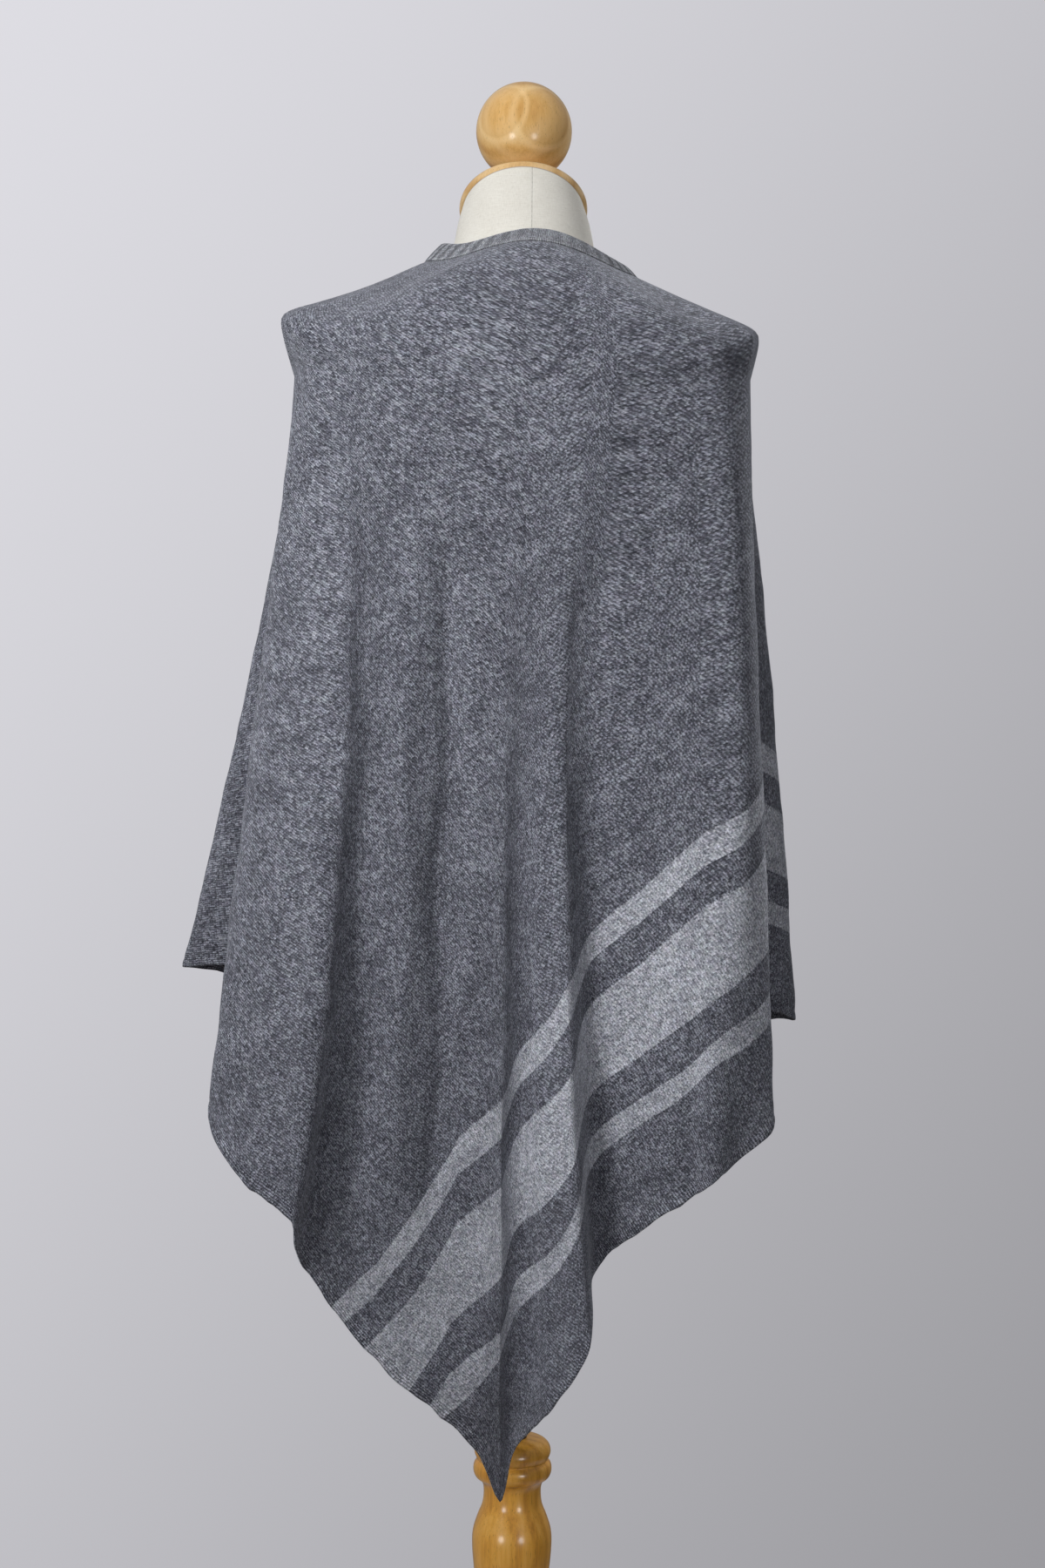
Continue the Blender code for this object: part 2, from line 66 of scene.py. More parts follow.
Line = namedtuple("Line", "name bearing waist_x waist_y hem_x hem_y hem_z run")
LEFT_SEAM = Line("left side seam", 0, -0.222, -0.002, -0.250, -0.002, 0.790, 0.87)
RIGHT_SEAM = Line("right side seam", 180, 0.210, 0.002, 0.218, 0.000, 0.785, 0.87)
BACK_LINES = (
    Line("left ridge", 16, -0.228, -0.070, -0.2526, -0.100, 0.681, 0.468),
    Line("left ridge slope", 30, -0.192, -0.1140, -0.2223, -0.140, 0.629, 0.400),
    Line("first crest", 46, -0.143, -0.1500, -0.1774, -0.164, 0.5977, 0.336),
    Line("first face", 51, -0.1285, -0.1450, -0.1742, -0.144, 0.5662, 0.292),
    Line("first hollow", 56, -0.1150, -0.1410, -0.1590, -0.128, 0.5390, 0.258),
    Line("left slope, upper", 66, -0.082, -0.1395, -0.1220, -0.1180, 0.4854, 0.192),
    Line("left slope, lower", 78, -0.043, -0.1380, -0.0558, -0.1035, 0.4227, 0.084),
    Line("point slope", 83, -0.026, -0.1390, -0.0269, -0.0970, 0.3923, 0.045),
    Line("back point crest", 88, -0.011, -0.1410, -0.0100, -0.0850, 0.3547, 0.0),
    Line("back point hollow", 91.5, 0.001, -0.1385, 0.0041, -0.0895, 0.3989, 0.075),
    Line("middle slope", 96.5, 0.018, -0.139, 0.0250, -0.109, 0.430, 0.132),
    Line("middle crest", 102.5, 0.040, -0.146, 0.0624, -0.144, 0.4961, 0.190),
    Line("middle hollow", 108.5, 0.0620, -0.1305, 0.0680, -0.101, 0.548, 0.274),
    Line("right slope", 119, 0.102, -0.130, 0.1028, -0.112, 0.583, 0.330),
    Line("right crest", 134, 0.150, -0.1320, 0.1608, -0.133, 0.626, 0.406),
    Line("right hollow", 144, 0.1845, -0.1270, 0.1790, -0.118, 0.640, 0.440),
    Line("right ridge", 163, 0.2040, -0.084, 0.2149, -0.098, 0.670, 0.487),
)
FRONT_LINES = (
    Line("right front pleat", 184.7, 0.197, 0.024, 0.1860, 0.038, 0.7645, 0.7425),
    Line("right front ridge", 194, 0.2355, 0.060, 0.2555, 0.092, 0.736, 0.615),
    Line("right ridge slope", 203, 0.216, 0.078, 0.2320, 0.118, 0.7335, 0.575),
    Line("fifth front hollow", 214, 0.186, 0.090, 0.2050, 0.106, 0.690, 0.53),
    Line("fifth front crest", 228, 0.150, 0.124, 0.1650, 0.158, 0.640, 0.45),
    Line("fourth front hollow", 241, 0.112, 0.120, 0.1300, 0.110, 0.590, 0.36),
    Line("fourth front crest", 251, 0.080, 0.140, 0.0880, 0.166, 0.535, 0.27),
    Line("third front hollow", 261, 0.044, 0.130, 0.0470, 0.116, 0.478, 0.16),
    Line("front point crest", 270, 0.002, 0.148, 0.0040, 0.160, 0.420, 0.0),
    Line("second front hollow", 279, -0.042, 0.130, -0.0420, 0.118, 0.476, 0.15),
    Line("second front crest", 289, -0.082, 0.142, -0.0940, 0.168, 0.536, 0.27),
    Line("first front hollow", 300, -0.120, 0.121, -0.1380, 0.112, 0.602, 0.38),
    Line("first front crest", 313, -0.160, 0.123, -0.1880, 0.160, 0.666, 0.49),
    Line("ridge hollow", 327, -0.200, 0.092, -0.2360, 0.108, 0.716, 0.59),
    Line("left ridge front slope", 337, -0.238, 0.080, -0.2680, 0.119, 0.771, 0.645),
    Line("left front ridge", 346, -0.263, 0.058, -0.3054, 0.090, 0.779, 0.685),
    Line("left front pleat", 355.3, -0.197, 0.0215, -0.1860, 0.037, 0.7885, 0.7775),
)
PLEATS = ((0.25, True), (0.50, False), (0.75, True))   # share of the way to the seam, is a hollow
PLEAT_HOLLOW_WAIST_X = 0.191
PLEAT_HOLLOW_HEM_X = 0.176

# ---------------------------------------------------------------- looks of the cloth
# Stripes by their distance from the right hem edge: from, to. Between them the knit is dark.
STRIPES = ((0.084, 0.105), (0.133, 0.192), (0.220, 0.245))
# How far the stripes on the back lie from there, in millimetres, where the cloth hangs out of true.
# Each row is for one distance from the right hem edge. The columns follow the folds: each is for one
# difference between the distances from the left hem edge and from the right one.
SHIFT_COLUMNS = (-0.22, -0.14, -0.06, 0.0, 0.035, 0.06, 0.10, 0.16, 0.20, 0.25, 0.30, 0.34, 0.38, 0.46)
SHIFTS_MM = {
    0.000: (0, 0, 0, 0, 0, 0, 0, 0, 0, 0, 0, 0, 0, 0),
    0.084: (0, 0, 4, 8, 3, 3, 4, -6, -5, -6, -5, -8, 3, -4),
    0.105: (0, 0, 8, 0, -4, 3, 0, -14, -2, -7, -8, -10, 3, -5),
    0.133: (0, 0, 13, 8, 3, 8, 4, -7, -4, -4, -3, -2, 6, -3),
    0.192: (1, -2, 9, 4, -3, 6, 8, -14, 0, 2, 9, 14, 17, -3),
    0.220: (-2, 2, 13, 6, -1, 10, 8, -7, 3, 7, 12, 20, 22, -4),
    0.245: (-12, -4, 8, 4, -5, 5, 4, -8, -3, 6, 16, 22, 24, -5),
}
SHIFT_SOFT = 0.010
WALE = 0.0021          # width of one column of stitches
COURSE = 0.0017        # height of one stitch
RIB = 0.0015           # width of one rib of the neckband
RIBS = 343
RIB_HEIGHTS = (0.00022, 0.0, -0.00026, 0.0)   # across one rib and the groove beside it
HEM_ROWS = (0.0, 0.0004, 0.0010, 0.0020, 0.0035, 0.0050, 0.0070, 0.0090, 0.0115, 0.0150, 0.0200)
COLUMN_STEP = 0.0058   # spacing of the finer columns along the hem
BAND_ROWS = 9
TIP_CURL = 0.020       # how far the points' last stretch curls inwards
TIP_DROP = 0.016       # how far the points are drawn down by their weight
TIP_CURL_REACH = 0.135
TIP_BEND, TIP_END, TIP_LIFT = 0.045, 0.008, 0.35   # reach of the drop, and of its share left out
CREASE_WANDER = 0.0032     # how far a crease wanders to either side
WANDER_PACE = 26.0         # radians for each metre down
WANDER_START = 90.0        # radians for each metre that a crease is placed to the side
HEM_BEAD = (0.0040, 0.0030)      # distance from the hem's edge and width
HEM_GROOVE = (0.0098, 0.0016)
BEAD_LIFT = 0.0004
SHOULDER_ROWS = 40
HANG_ROWS = 92

# Smooth unevenness of the cloth: how deep and how long its waves are, the noise's seed, and how far
# from the hem it fades, if it does.
Wave = namedtuple("Wave", "depth length seed fade", defaults=(None,))
LOOSE = Wave(0.0016, 0.055, 3.1)             # below the shoulders
UNEVEN = Wave(0.0007, 0.020, 8.4)            # everywhere
HEM_CURL = Wave(0.0011, 0.030, 5.7, 0.012)
HEM_WAVE = Wave(0.0022, 0.028, 2.2, 0.020)   # how far the hem's edge runs out of true
HEM_RAGGED = Wave(0.0018, 0.014, 6.3, 0.006) # the same for its smallest kinks

# Creases on top of the CAD folds, by the face on which they lie. x is a crease's place
# across that face at its top and its foot. Depth is inwards if positive; left and right are its
# widths on either side, so that a fold can have one steep face.
Crease = namedtuple("Crease", "x0 z0 x1 z1 left right depth0 depth1")
CREASES = {
    "back": (
        # first fold: its face behind the crest, and the dark hollow beside it
        (-0.1210, 1.200, -0.1280, 0.540, 0.013, 0.014, 0.0050, 0.0075),
        (-0.1520, 1.000, -0.1700, 0.640, 0.012, 0.010, -0.0030, -0.0050),
        # narrow bands between the first fold and the middle one
        (-0.1060, 1.120, -0.1080, 0.900, 0.007, 0.008, 0.0026, 0.0016),
        (-0.0870, 1.180, -0.0930, 0.680, 0.013, 0.011, -0.0040, -0.0055),
        (-0.0560, 1.170, -0.0650, 0.600, 0.008, 0.015, 0.0072, 0.0066),
        (-0.0330, 1.120, -0.0330, 0.780, 0.012, 0.012, -0.0026, -0.0022),
        # the second fold: the cloth falls away to it from the left and rises steeply on its right
        (-0.0300, 1.050, -0.0330, 0.450, 0.055, 0.020, 0.0015, 0.0050),
        (0.0040, 1.000, 0.0055, 0.420, 0.0090, 0.030, 0.0010, 0.0150),
        (0.0200, 1.140, 0.0200, 0.800, 0.013, 0.011, -0.0028, -0.0028),
        (0.0460, 1.150, 0.0470, 0.860, 0.009, 0.020, 0.0060, 0.0050),
        (0.1430, 0.770, 0.1450, 0.600, 0.006, 0.009, 0.0020, 0.0095),
        # soft hollows on the shoulder blades
        (-0.1650, 1.300, -0.1550, 1.120, 0.016, 0.020, 0.0018, 0.0020),
        (0.1000, 1.280, 0.1100, 1.050, 0.026, 0.022, 0.0016, 0.0020),
    ),
    "front": (
        (-0.0600, 1.180, -0.0850, 0.760, 0.018, 0.016, -0.0020, -0.0040),
        (0.0300, 1.160, 0.0350, 0.800, 0.016, 0.018, 0.0020, 0.0040),
        (0.1080, 1.150, 0.1200, 0.820, 0.014, 0.018, 0.0020, 0.0040),
        (-0.1200, 1.120, -0.1350, 0.800, 0.016, 0.016, 0.0020, 0.0040),
        (0.0700, 1.280, 0.0600, 1.080, 0.030, 0.024, 0.0020, 0.0020),
        (-0.0900, 1.260, -0.0500, 1.060, 0.026, 0.030, 0.0020, 0.0020),
    ),
}


def ring_points(ring, bearings):
    """Points of a ring at the given bearings in degrees, one row each."""
    turn = np.radians(bearings)
    cos, sin = np.cos(turn), np.sin(turn)
    shape = 2.0 / ring.power
    x = ring.x - ring.half_w * np.sign(cos) * np.abs(cos) ** shape
    y = ring.y - ring.half_d * np.sign(sin) * np.abs(sin) ** shape
    side_z = (ring.z_left + ring.z_right) / 2 + cos * (ring.z_left - ring.z_right) / 2
    face_z = (ring.z_back + ring.z_front) / 2 + sin * (ring.z_back - ring.z_front) / 2
    drop = ring.corner_drop * np.sin(2 * turn) ** 2
    return np.column_stack([x, y, cos**2 * side_z + sin**2 * face_z - drop])


def run_along(path):
    """Distance along a path at each of its points."""
    steps = np.linalg.norm(np.diff(path, axis=0), axis=1)
    return np.concatenate([[0.0], np.cumsum(steps)])


def points_at(path, at):
    """Points at the given distances along a finely sampled path."""
    run = run_along(path)
    return np.column_stack([np.interp(at, run, path[:, axis]) for axis in range(3)])


def even_steps(path, count):
    """Count + 1 points at equal distances along a path."""
    return points_at(path, np.linspace(0.0, run_along(path)[-1], count + 1))


def shoulder_path(bearing, start, knee, end, steps):
    """From the neck over the shoulder: a curve drawn to the knee, sharply at a shoulder tip."""
    cos = math.cos(math.radians(bearing))
    weight = SLOPE_WEIGHT + (TIP_WEIGHT - SLOPE_WEIGHT) * cos**4
    u = np.linspace(0.0, 1.0, 300)[:, None]
    near, middle, far = (1 - u) ** 2, 2 * weight * u * (1 - u), u**2
    path = even_steps((near * start + middle * knee + far * end) / (near + middle + far), steps)
    sag = (SAG_LEFT if cos > 0 else SAG_RIGHT) * cos**4
    share = np.minimum(np.linspace(0.0, 1.0, steps + 1) / TIP_SHARE, 1.0)
    path[:, 2] -= sag * np.sin(math.pi * share)
    return path


def pleat_lines(ridge, seam, side):
    """The narrow pleats between a ridge on the back and the side seam."""
    made = []
    for share, is_hollow in PLEATS:
        mix = {key: (1 - share) * getattr(ridge, key) + share * getattr(seam, key)
               for key in Line._fields if key != "name"}
        if is_hollow:
            mix["waist_x"] = side * PLEAT_HOLLOW_WAIST_X
            mix["hem_x"] = side * PLEAT_HOLLOW_HEM_X
        made.append(Line("pleat", **mix))
    return made


def all_lines():
    """Every fold line in order round the cloth, and the places of the two seams and two points."""
    left = pleat_lines(BACK_LINES[0], LEFT_SEAM, -1)[::-1]
    right = pleat_lines(BACK_LINES[-1], RIGHT_SEAM, 1)
    lines = [LEFT_SEAM, *left, *BACK_LINES, *right, RIGHT_SEAM, *FRONT_LINES]
    names = [line.name for line in lines]
    marks = [names.index(name) for name in
             ("left side seam", "back point crest", "right side seam", "front point crest")]
    return lines, marks


def neck_bearing(index, line, marks):
    """Place of a line round the neck: even along the hem from a side seam to a point."""
    left, back, right, front = marks
    share = line.run / PANEL_SIDE
    if index <= right:
        return 90 - 90 * share if index <= back else 90 + 90 * share
    return 270 - 90 * share if index <= front else 270 + 90 * share


def hanging_path(line, start, count=200):
    """The line below the shoulders: a smooth curve through its three levels."""
    z = np.linspace(HANG_Z, line.hem_z, count)
    level = (HANG_Z, WAIST_Z, line.hem_z)
    path = np.zeros((count, 3))
    path[:, 2] = z
    for axis, value in enumerate(((start[0], line.waist_x, line.hem_x),
                                  (start[1], line.waist_y, line.hem_y))):
        for i in range(3):
            j, k = (i + 1) % 3, (i + 2) % 3
            weight = (z - level[j]) * (z - level[k])
            path[:, axis] += value[i] * weight / ((level[i] - level[j]) * (level[i] - level[k]))
    return path


def line_paths(lines, marks):
    """Points of every line from the band's top to the hem: rows, lines, xyz."""
    made = []
    for index, line in enumerate(lines):
        at_neck = neck_bearing(index, line, marks)
        top = ring_points(BAND_TOP, [at_neck])[0]
        neck = ring_points(NECK_EDGE, [at_neck])[0]
        knee = ring_points(SHOULDER_EDGE, [line.bearing])[0]
        hang = ring_points(HANG_EDGE, [line.bearing])[0]
        band = even_steps(np.array([top, neck]), BAND_ROWS)
        shoulder = shoulder_path(line.bearing, neck, knee, hang, SHOULDER_ROWS)
        path = hanging_path(line, hang)
        length = run_along(path)[-1]
        at = np.concatenate([np.linspace(0.0, length - HEM_ROWS[-1], HANG_ROWS)[:-1],
                             length - np.array(HEM_ROWS)[::-1]])
        made.append(np.vstack([band[:-1], shoulder[:-1], points_at(path, at)]))
    return np.array(made).transpose(1, 0, 2)


def stripe_shift(flat):
    """How far the stripes on the back are shifted at each point of the flat panel."""
    right, across = flat[..., 0], flat[..., 1] - flat[..., 0]
    levels = np.array(list(SHIFTS_MM))
    columns = []
    for row in SHIFTS_MM.values():
        value = 2 * np.interp(across, SHIFT_COLUMNS, row)
        for side in (-SHIFT_SOFT, SHIFT_SOFT):
            value = value + np.interp(across + side, SHIFT_COLUMNS, row)
        columns.append(value / 4000)
    values = np.stack(columns, axis=-1)
    index = np.clip(np.searchsorted(levels, right) - 1, 0, len(levels) - 2)
    share = np.clip((right - levels[index]) / (levels[index + 1] - levels[index]), 0.0, 1.0)
    low = np.take_along_axis(values, index[..., None], axis=-1)[..., 0]
    high = np.take_along_axis(values, index[..., None] + 1, axis=-1)[..., 0]
    return low * (1 - share) + high * share


def stripe_shift_in_front(flat):
    """The same in front of the right side seam, where only a strip of the front shows."""
    return -0.004 * smoothstep(0.36, 0.46, flat[..., 1] - flat[..., 0])


class Cloth:
    """The poncho's outer surface as a grid: rows from the band's top to the hem, columns round."""

    def __init__(self):
        lines, marks = all_lines()
        paths = line_paths(lines, marks)
        count = len(lines)
        hem = np.linalg.norm(np.roll(paths[-1], -1, axis=0) - paths[-1], axis=1)
        per_span = np.maximum(4, np.rint(hem / COLUMN_STEP)).astype(int)
        span = np.repeat(np.arange(count), per_span)
        v = np.concatenate([np.arange(n) / n for n in per_span])
        self.grid = self.round_the_body(paths, marks, span, v)
        self.split = per_span[:marks[2]].sum()      # first column of the front panel
        self.fabric(lines, marks, span, v)

    @staticmethod
    def round_the_body(paths, marks, span, v):
        """A smooth closed curve through the lines at each row, as in the CAD model."""
        step = np.linalg.norm(np.roll(paths, -1, axis=1) - paths, axis=2) ** 0.5
        slope = (np.roll(paths, -1, axis=1) - paths) / step[..., None]
        before = np.roll(slope, 1, axis=1)
        step_before = np.roll(step, 1, axis=1)
        share = (step_before / (step + step_before))[..., None]
        tangent = before * (1 - share) + slope * share
        leave, arrive = tangent.copy(), tangent.copy()
        for mark in marks:
            leave[:, mark, 2] = slope[:, mark, 2]
            arrive[:, mark, 2] = before[:, mark, 2]
        after = (span + 1) % paths.shape[1]
        v = v[None, :, None]
        here = (2 * v**3 - 3 * v**2 + 1) * paths[:, span] + (3 * v**2 - 2 * v**3) * paths[:, after]
        bend = (v**3 - 2 * v**2 + v) * leave[:, span] + (v**3 - v**2) * arrive[:, after]
        return here + bend * step[:, span][..., None]

    def fabric(self, lines, marks, span, v):
        """Each point's distance in the flat panel from the right hem edge and the left one."""
        count = len(lines)
        run = np.array([line.run for line in lines])
        at_neck = np.array([neck_bearing(i, line, marks) for i, line in enumerate(lines)])
        at_neck = np.append(at_neck, 360.0)
        run = np.append(run, run[0])
        column_run = run[span] * (1 - v) + run[span + 1] * v
        bearing = at_neck[span] * (1 - v) + at_neck[span + 1] * v
        q = np.where(bearing <= 180, bearing, 360 - bearing) / 180.0
        neck = np.column_stack([PANEL_SIDE - NECK_LEG * q, PANEL_SIDE - NECK_LEG * (1 - q)])
        left_half = (span < marks[1]) | (span >= marks[3])
        hem = np.where(left_half[:, None],
                       np.column_stack([column_run, 0 * column_run]),
                       np.column_stack([0 * column_run, column_run]))
        body = self.grid[BAND_ROWS:]
        run_down = np.concatenate([np.zeros((1, len(v))),
                                   np.cumsum(np.linalg.norm(np.diff(body, axis=0), axis=2), axis=0)])
        self.down = run_down                        # distance from the neck edge
        self.to_hem = run_down[-1] - run_down       # distance to the hem
        t = (run_down / run_down[-1])[..., None]
        self.flat = neck[None] * (1 - t) + hem[None] * t
        on_back = (span < marks[2])[None, :]
        shift = np.where(on_back, stripe_shift(self.flat), stripe_shift_in_front(self.flat))
        self.pattern = self.flat.copy()
        self.pattern[..., 0] -= shift


def outward(grid):
    """Unit normals of a grid whose columns go round and whose rows go down."""
    down = np.gradient(grid, axis=0)
    along = np.roll(grid, -1, axis=1) - np.roll(grid, 1, axis=1)
    normal = np.cross(down, along)
    return normal / np.maximum(np.linalg.norm(normal, axis=2, keepdims=True), 1e-12)


def smoothstep(low, high, value):
    """0 below low, 1 above high and smooth between."""
    share = np.clip((value - low) / (high - low), 0.0, 1.0)
    return share * share * (3 - 2 * share)


def bell(value, middle, width):
    """1 where a value is at its middle, fading on both sides of it."""
    return np.exp(-((value - middle) / width) ** 2)


def rounded(distance, reach):
    """A sheet's share of its thickness at a distance from its edge, which is rounded off."""
    away = 1 - np.clip(distance / reach, 0.0, 1.0)
    return 1 - 0.75 * (1 - np.sqrt(np.clip(1 - away ** 2, 0, 1)))


def crease_depth(grid, normal):
    """How far the listed creases move each point inwards."""
    depth = np.zeros(grid.shape[:2])
    for face, sign in (("back", -1.0), ("front", 1.0)):
        mask = smoothstep(0.05, 0.45, sign * normal[..., 1])
        for crease in map(Crease._make, CREASES[face]):
            share = (crease.z0 - grid[..., 2]) / (crease.z0 - crease.z1)
            line = crease.x0 + (crease.x1 - crease.x0) * np.clip(share, -0.4, 1.4)
            wander = np.sin(grid[..., 2] * WANDER_PACE + WANDER_START * crease.x0)
            off = grid[..., 0] - (line + CREASE_WANDER * wander)
            width = np.where(off < 0, crease.left, crease.right)
            ends = smoothstep(-0.12, 0.25, share) * (1 - smoothstep(0.85, 1.15, share))
            amount = crease.depth0 + (crease.depth1 - crease.depth0) * np.clip(share, 0.0, 1.0)
            depth += amount * bell(off, 0.0, width) * ends * mask
    return depth


def waviness(cloth, wave):
    """How far a wave of unevenness moves each point: smooth noise over the flat cloth."""
    rows, columns, _ = cloth.flat.shape
    made = np.empty(rows * columns)
    for i, (a, b) in enumerate(cloth.flat.reshape(-1, 2)):
        made[i] = noise.noise(Vector((a / wave.length, b / wave.length, wave.seed)))
    made = wave.depth * made.reshape(rows, columns)
    return made if wave.fade is None else made * np.exp(-cloth.to_hem / wave.fade)


# ---------------------------------------------------------------- meshes
def link(name, data):
    """A new object in the scene."""
    made = bpy.data.objects.new(name, data)
    bpy.context.scene.collection.objects.link(made)
    return made


def mesh_of(name, points, faces):
    """A smooth mesh from points and faces."""
    mesh = bpy.data.meshes.new(name)
    mesh.from_pydata(np.reshape(points, (-1, 3)).tolist(), [], faces)
    mesh.shade_smooth()
    return mesh


def grid_faces(rows, columns, closed, start=0, flip=False):
    """Quads of a grid of points, as rows of four indices."""
    row = np.arange(rows - 1)[:, None]
    column = np.arange(columns if closed else columns - 1)[None, :]
    right = (column + 1) % columns
    quad = np.stack([row * columns + column, (row + 1) * columns + column,
                     (row + 1) * columns + right, row * columns + right], axis=-1).reshape(-1, 4)
    return start + (quad[:, ::-1] if flip else quad)


def shell_mesh(name, outer, inner, closed):
    """A closed sheet between an outer and an inner grid of points."""
    rows, columns, _ = outer.shape
    size = rows * columns
    faces = [grid_faces(rows, columns, closed), grid_faces(rows, columns, closed, size, flip=True)]
    column = np.arange(columns if closed else columns - 1)
    right = (column + 1) % columns
    last = (rows - 1) * columns
    faces.append(np.stack([column, right, size + right, size + column], axis=1))
    faces.append(np.stack([last + column, size + last + column, size + last + right,
                           last + right], axis=1))
    if not closed:
        row = np.arange(rows - 1) * columns
        end = row + columns - 1
        faces.append(np.stack([row, size + row, size + row + columns, row + columns], axis=1))
        faces.append(np.stack([end, end + columns, size + end + columns, size + end], axis=1))
    return mesh_of(name, [outer, inner], np.concatenate(faces).tolist())


def set_vectors(mesh, name, values):
    """A vector at each point of a mesh, for its material."""
    made = mesh.attributes.new(name, "FLOAT_VECTOR", "POINT")
    made.data.foreach_set("vector", np.asarray(values, np.float32).ravel())


def parted(edge, before, after, distance):
    """An edge moved along the way from the points on one side of it to those on the other."""
    way = after - before
    return edge + way * (distance / np.linalg.norm(way, axis=-1, keepdims=True))


# ---------------------------------------------------------------- material nodes
class Nodes:
    """Short calls for building the nodes of a material or a world."""

    def __init__(self, owner, surface="Principled BSDF"):
        owner.use_nodes = True
        self.owner = owner
        self.tree = owner.node_tree
        self.surface = self.tree.nodes[surface]

    def put(self, node, inputs):
        """Sets a node's inputs to values or links them to outputs."""
        for key, value in inputs.items():
            if isinstance(value, bpy.types.NodeSocket):
                self.tree.links.new(value, node.inputs[key])
            else:
                node.inputs[key].default_value = value

    def finished(self, inputs):
        """The material or world, with its surface's inputs put."""
        self.put(self.surface, inputs)
        return self.owner

    def add(self, kind, inputs=None, output=0, **settings):
        """One output of a new node with some inputs put and its settings."""
        node = self.tree.nodes.new(kind)
        for key, value in settings.items():
            setattr(node, key, value)
        self.put(node, inputs or {})
        return node.outputs[output]

    def math(self, operation, a, b=0.0, c=0.0):
        """The result of one Math node."""
        return self.add("ShaderNodeMath", {0: a, 1: b, 2: c}, operation=operation)

    plus = partialmethod(math, "ADD")
    minus = partialmethod(math, "SUBTRACT")
    times = partialmethod(math, "MULTIPLY")
    over = partialmethod(math, "DIVIDE")
    linear = partialmethod(math, "MULTIPLY_ADD")     # value, factor, offset

    def vector_math(self, operation, a, b=(0.0, 0.0, 0.0), output=0):
        """The result of one Vector Math node."""
        return self.add("ShaderNodeVectorMath", {0: a, 1: b}, output, operation=operation)

    def vector(self, x, y, z):
        """Three numbers as a vector."""
        return self.add("ShaderNodeCombineXYZ", {0: x, 1: y, 2: z})

    def split(self, vector):
        """The three numbers of a vector."""
        return self.add("ShaderNodeSeparateXYZ", {0: vector}).node.outputs

    def noise(self, vector, scale, detail=2.0, roughness=0.5, output="Fac"):
        """Noise between 0 and 1, with one scale or one for each axis."""
        if isinstance(scale, tuple):
            vector, scale = self.vector_math("MULTIPLY", vector, scale), 1.0
        return self.add("ShaderNodeTexNoise", {"Vector": vector, "Scale": scale, "Detail": detail,
                                               "Roughness": roughness}, output)

    def ramp(self, value, stops):
        """A colour ramp over stops of place and colour."""
        color = self.add("ShaderNodeValToRGB", {"Fac": value}, "Color")
        elements = color.node.color_ramp.elements
        while len(elements) > 1:
            elements.remove(elements[-1])
        for number, (place, tone) in enumerate(stops):
            element = elements[0] if number == 0 else elements.new(place)
            element.position = place
            element.color = (*tone, 1.0)
        return color

    def mix(self, factor, a, b, blend="MIX"):
        """Two colours mixed."""
        a, b = ((*color, 1.0) if isinstance(color, tuple) else color for color in (a, b))
        return self.add("ShaderNodeMix", {"Factor": factor, 6: a, 7: b}, 2, data_type="RGBA",
                        blend_type=blend)

    def rise(self, value, low, high):
        """0 at low to 1 at high."""
        return self.add("ShaderNodeMapRange", {"Value": value, 1: low, 2: high})

    def band(self, value, low, high, soft):
        """1 between low and high, 0 outside, with soft edges."""
        return self.times(self.rise(value, low - soft, low + soft),
                          self.rise(value, high + soft, high - soft))

    def bump(self, height, distance, strength, normal=None):
        """A bump's normal."""
        inputs = {"Height": height, "Distance": distance, "Strength": strength}
        if normal is not None:
            inputs["Normal"] = normal
        return self.add("ShaderNodeBump", inputs)


def stitches(nodes, across, along, wale):
    """Height of a plain knit: two slanted legs to each stitch, in columns along the wales."""
    place = nodes.math("FRACT", nodes.over(across, wale))
    leg = nodes.math("ABSOLUTE", nodes.minus(place, 0.5))
    slanted = nodes.plus(nodes.over(along, COURSE), nodes.times(leg, 0.9))
    rows = nodes.math("SINE", nodes.times(slanted, 2 * math.pi))
    columns = nodes.math("COSINE", nodes.times(leg, 2 * math.pi))
    return nodes.times(nodes.linear(columns, 0.5, 0.5), nodes.linear(rows, 0.34, 0.66))


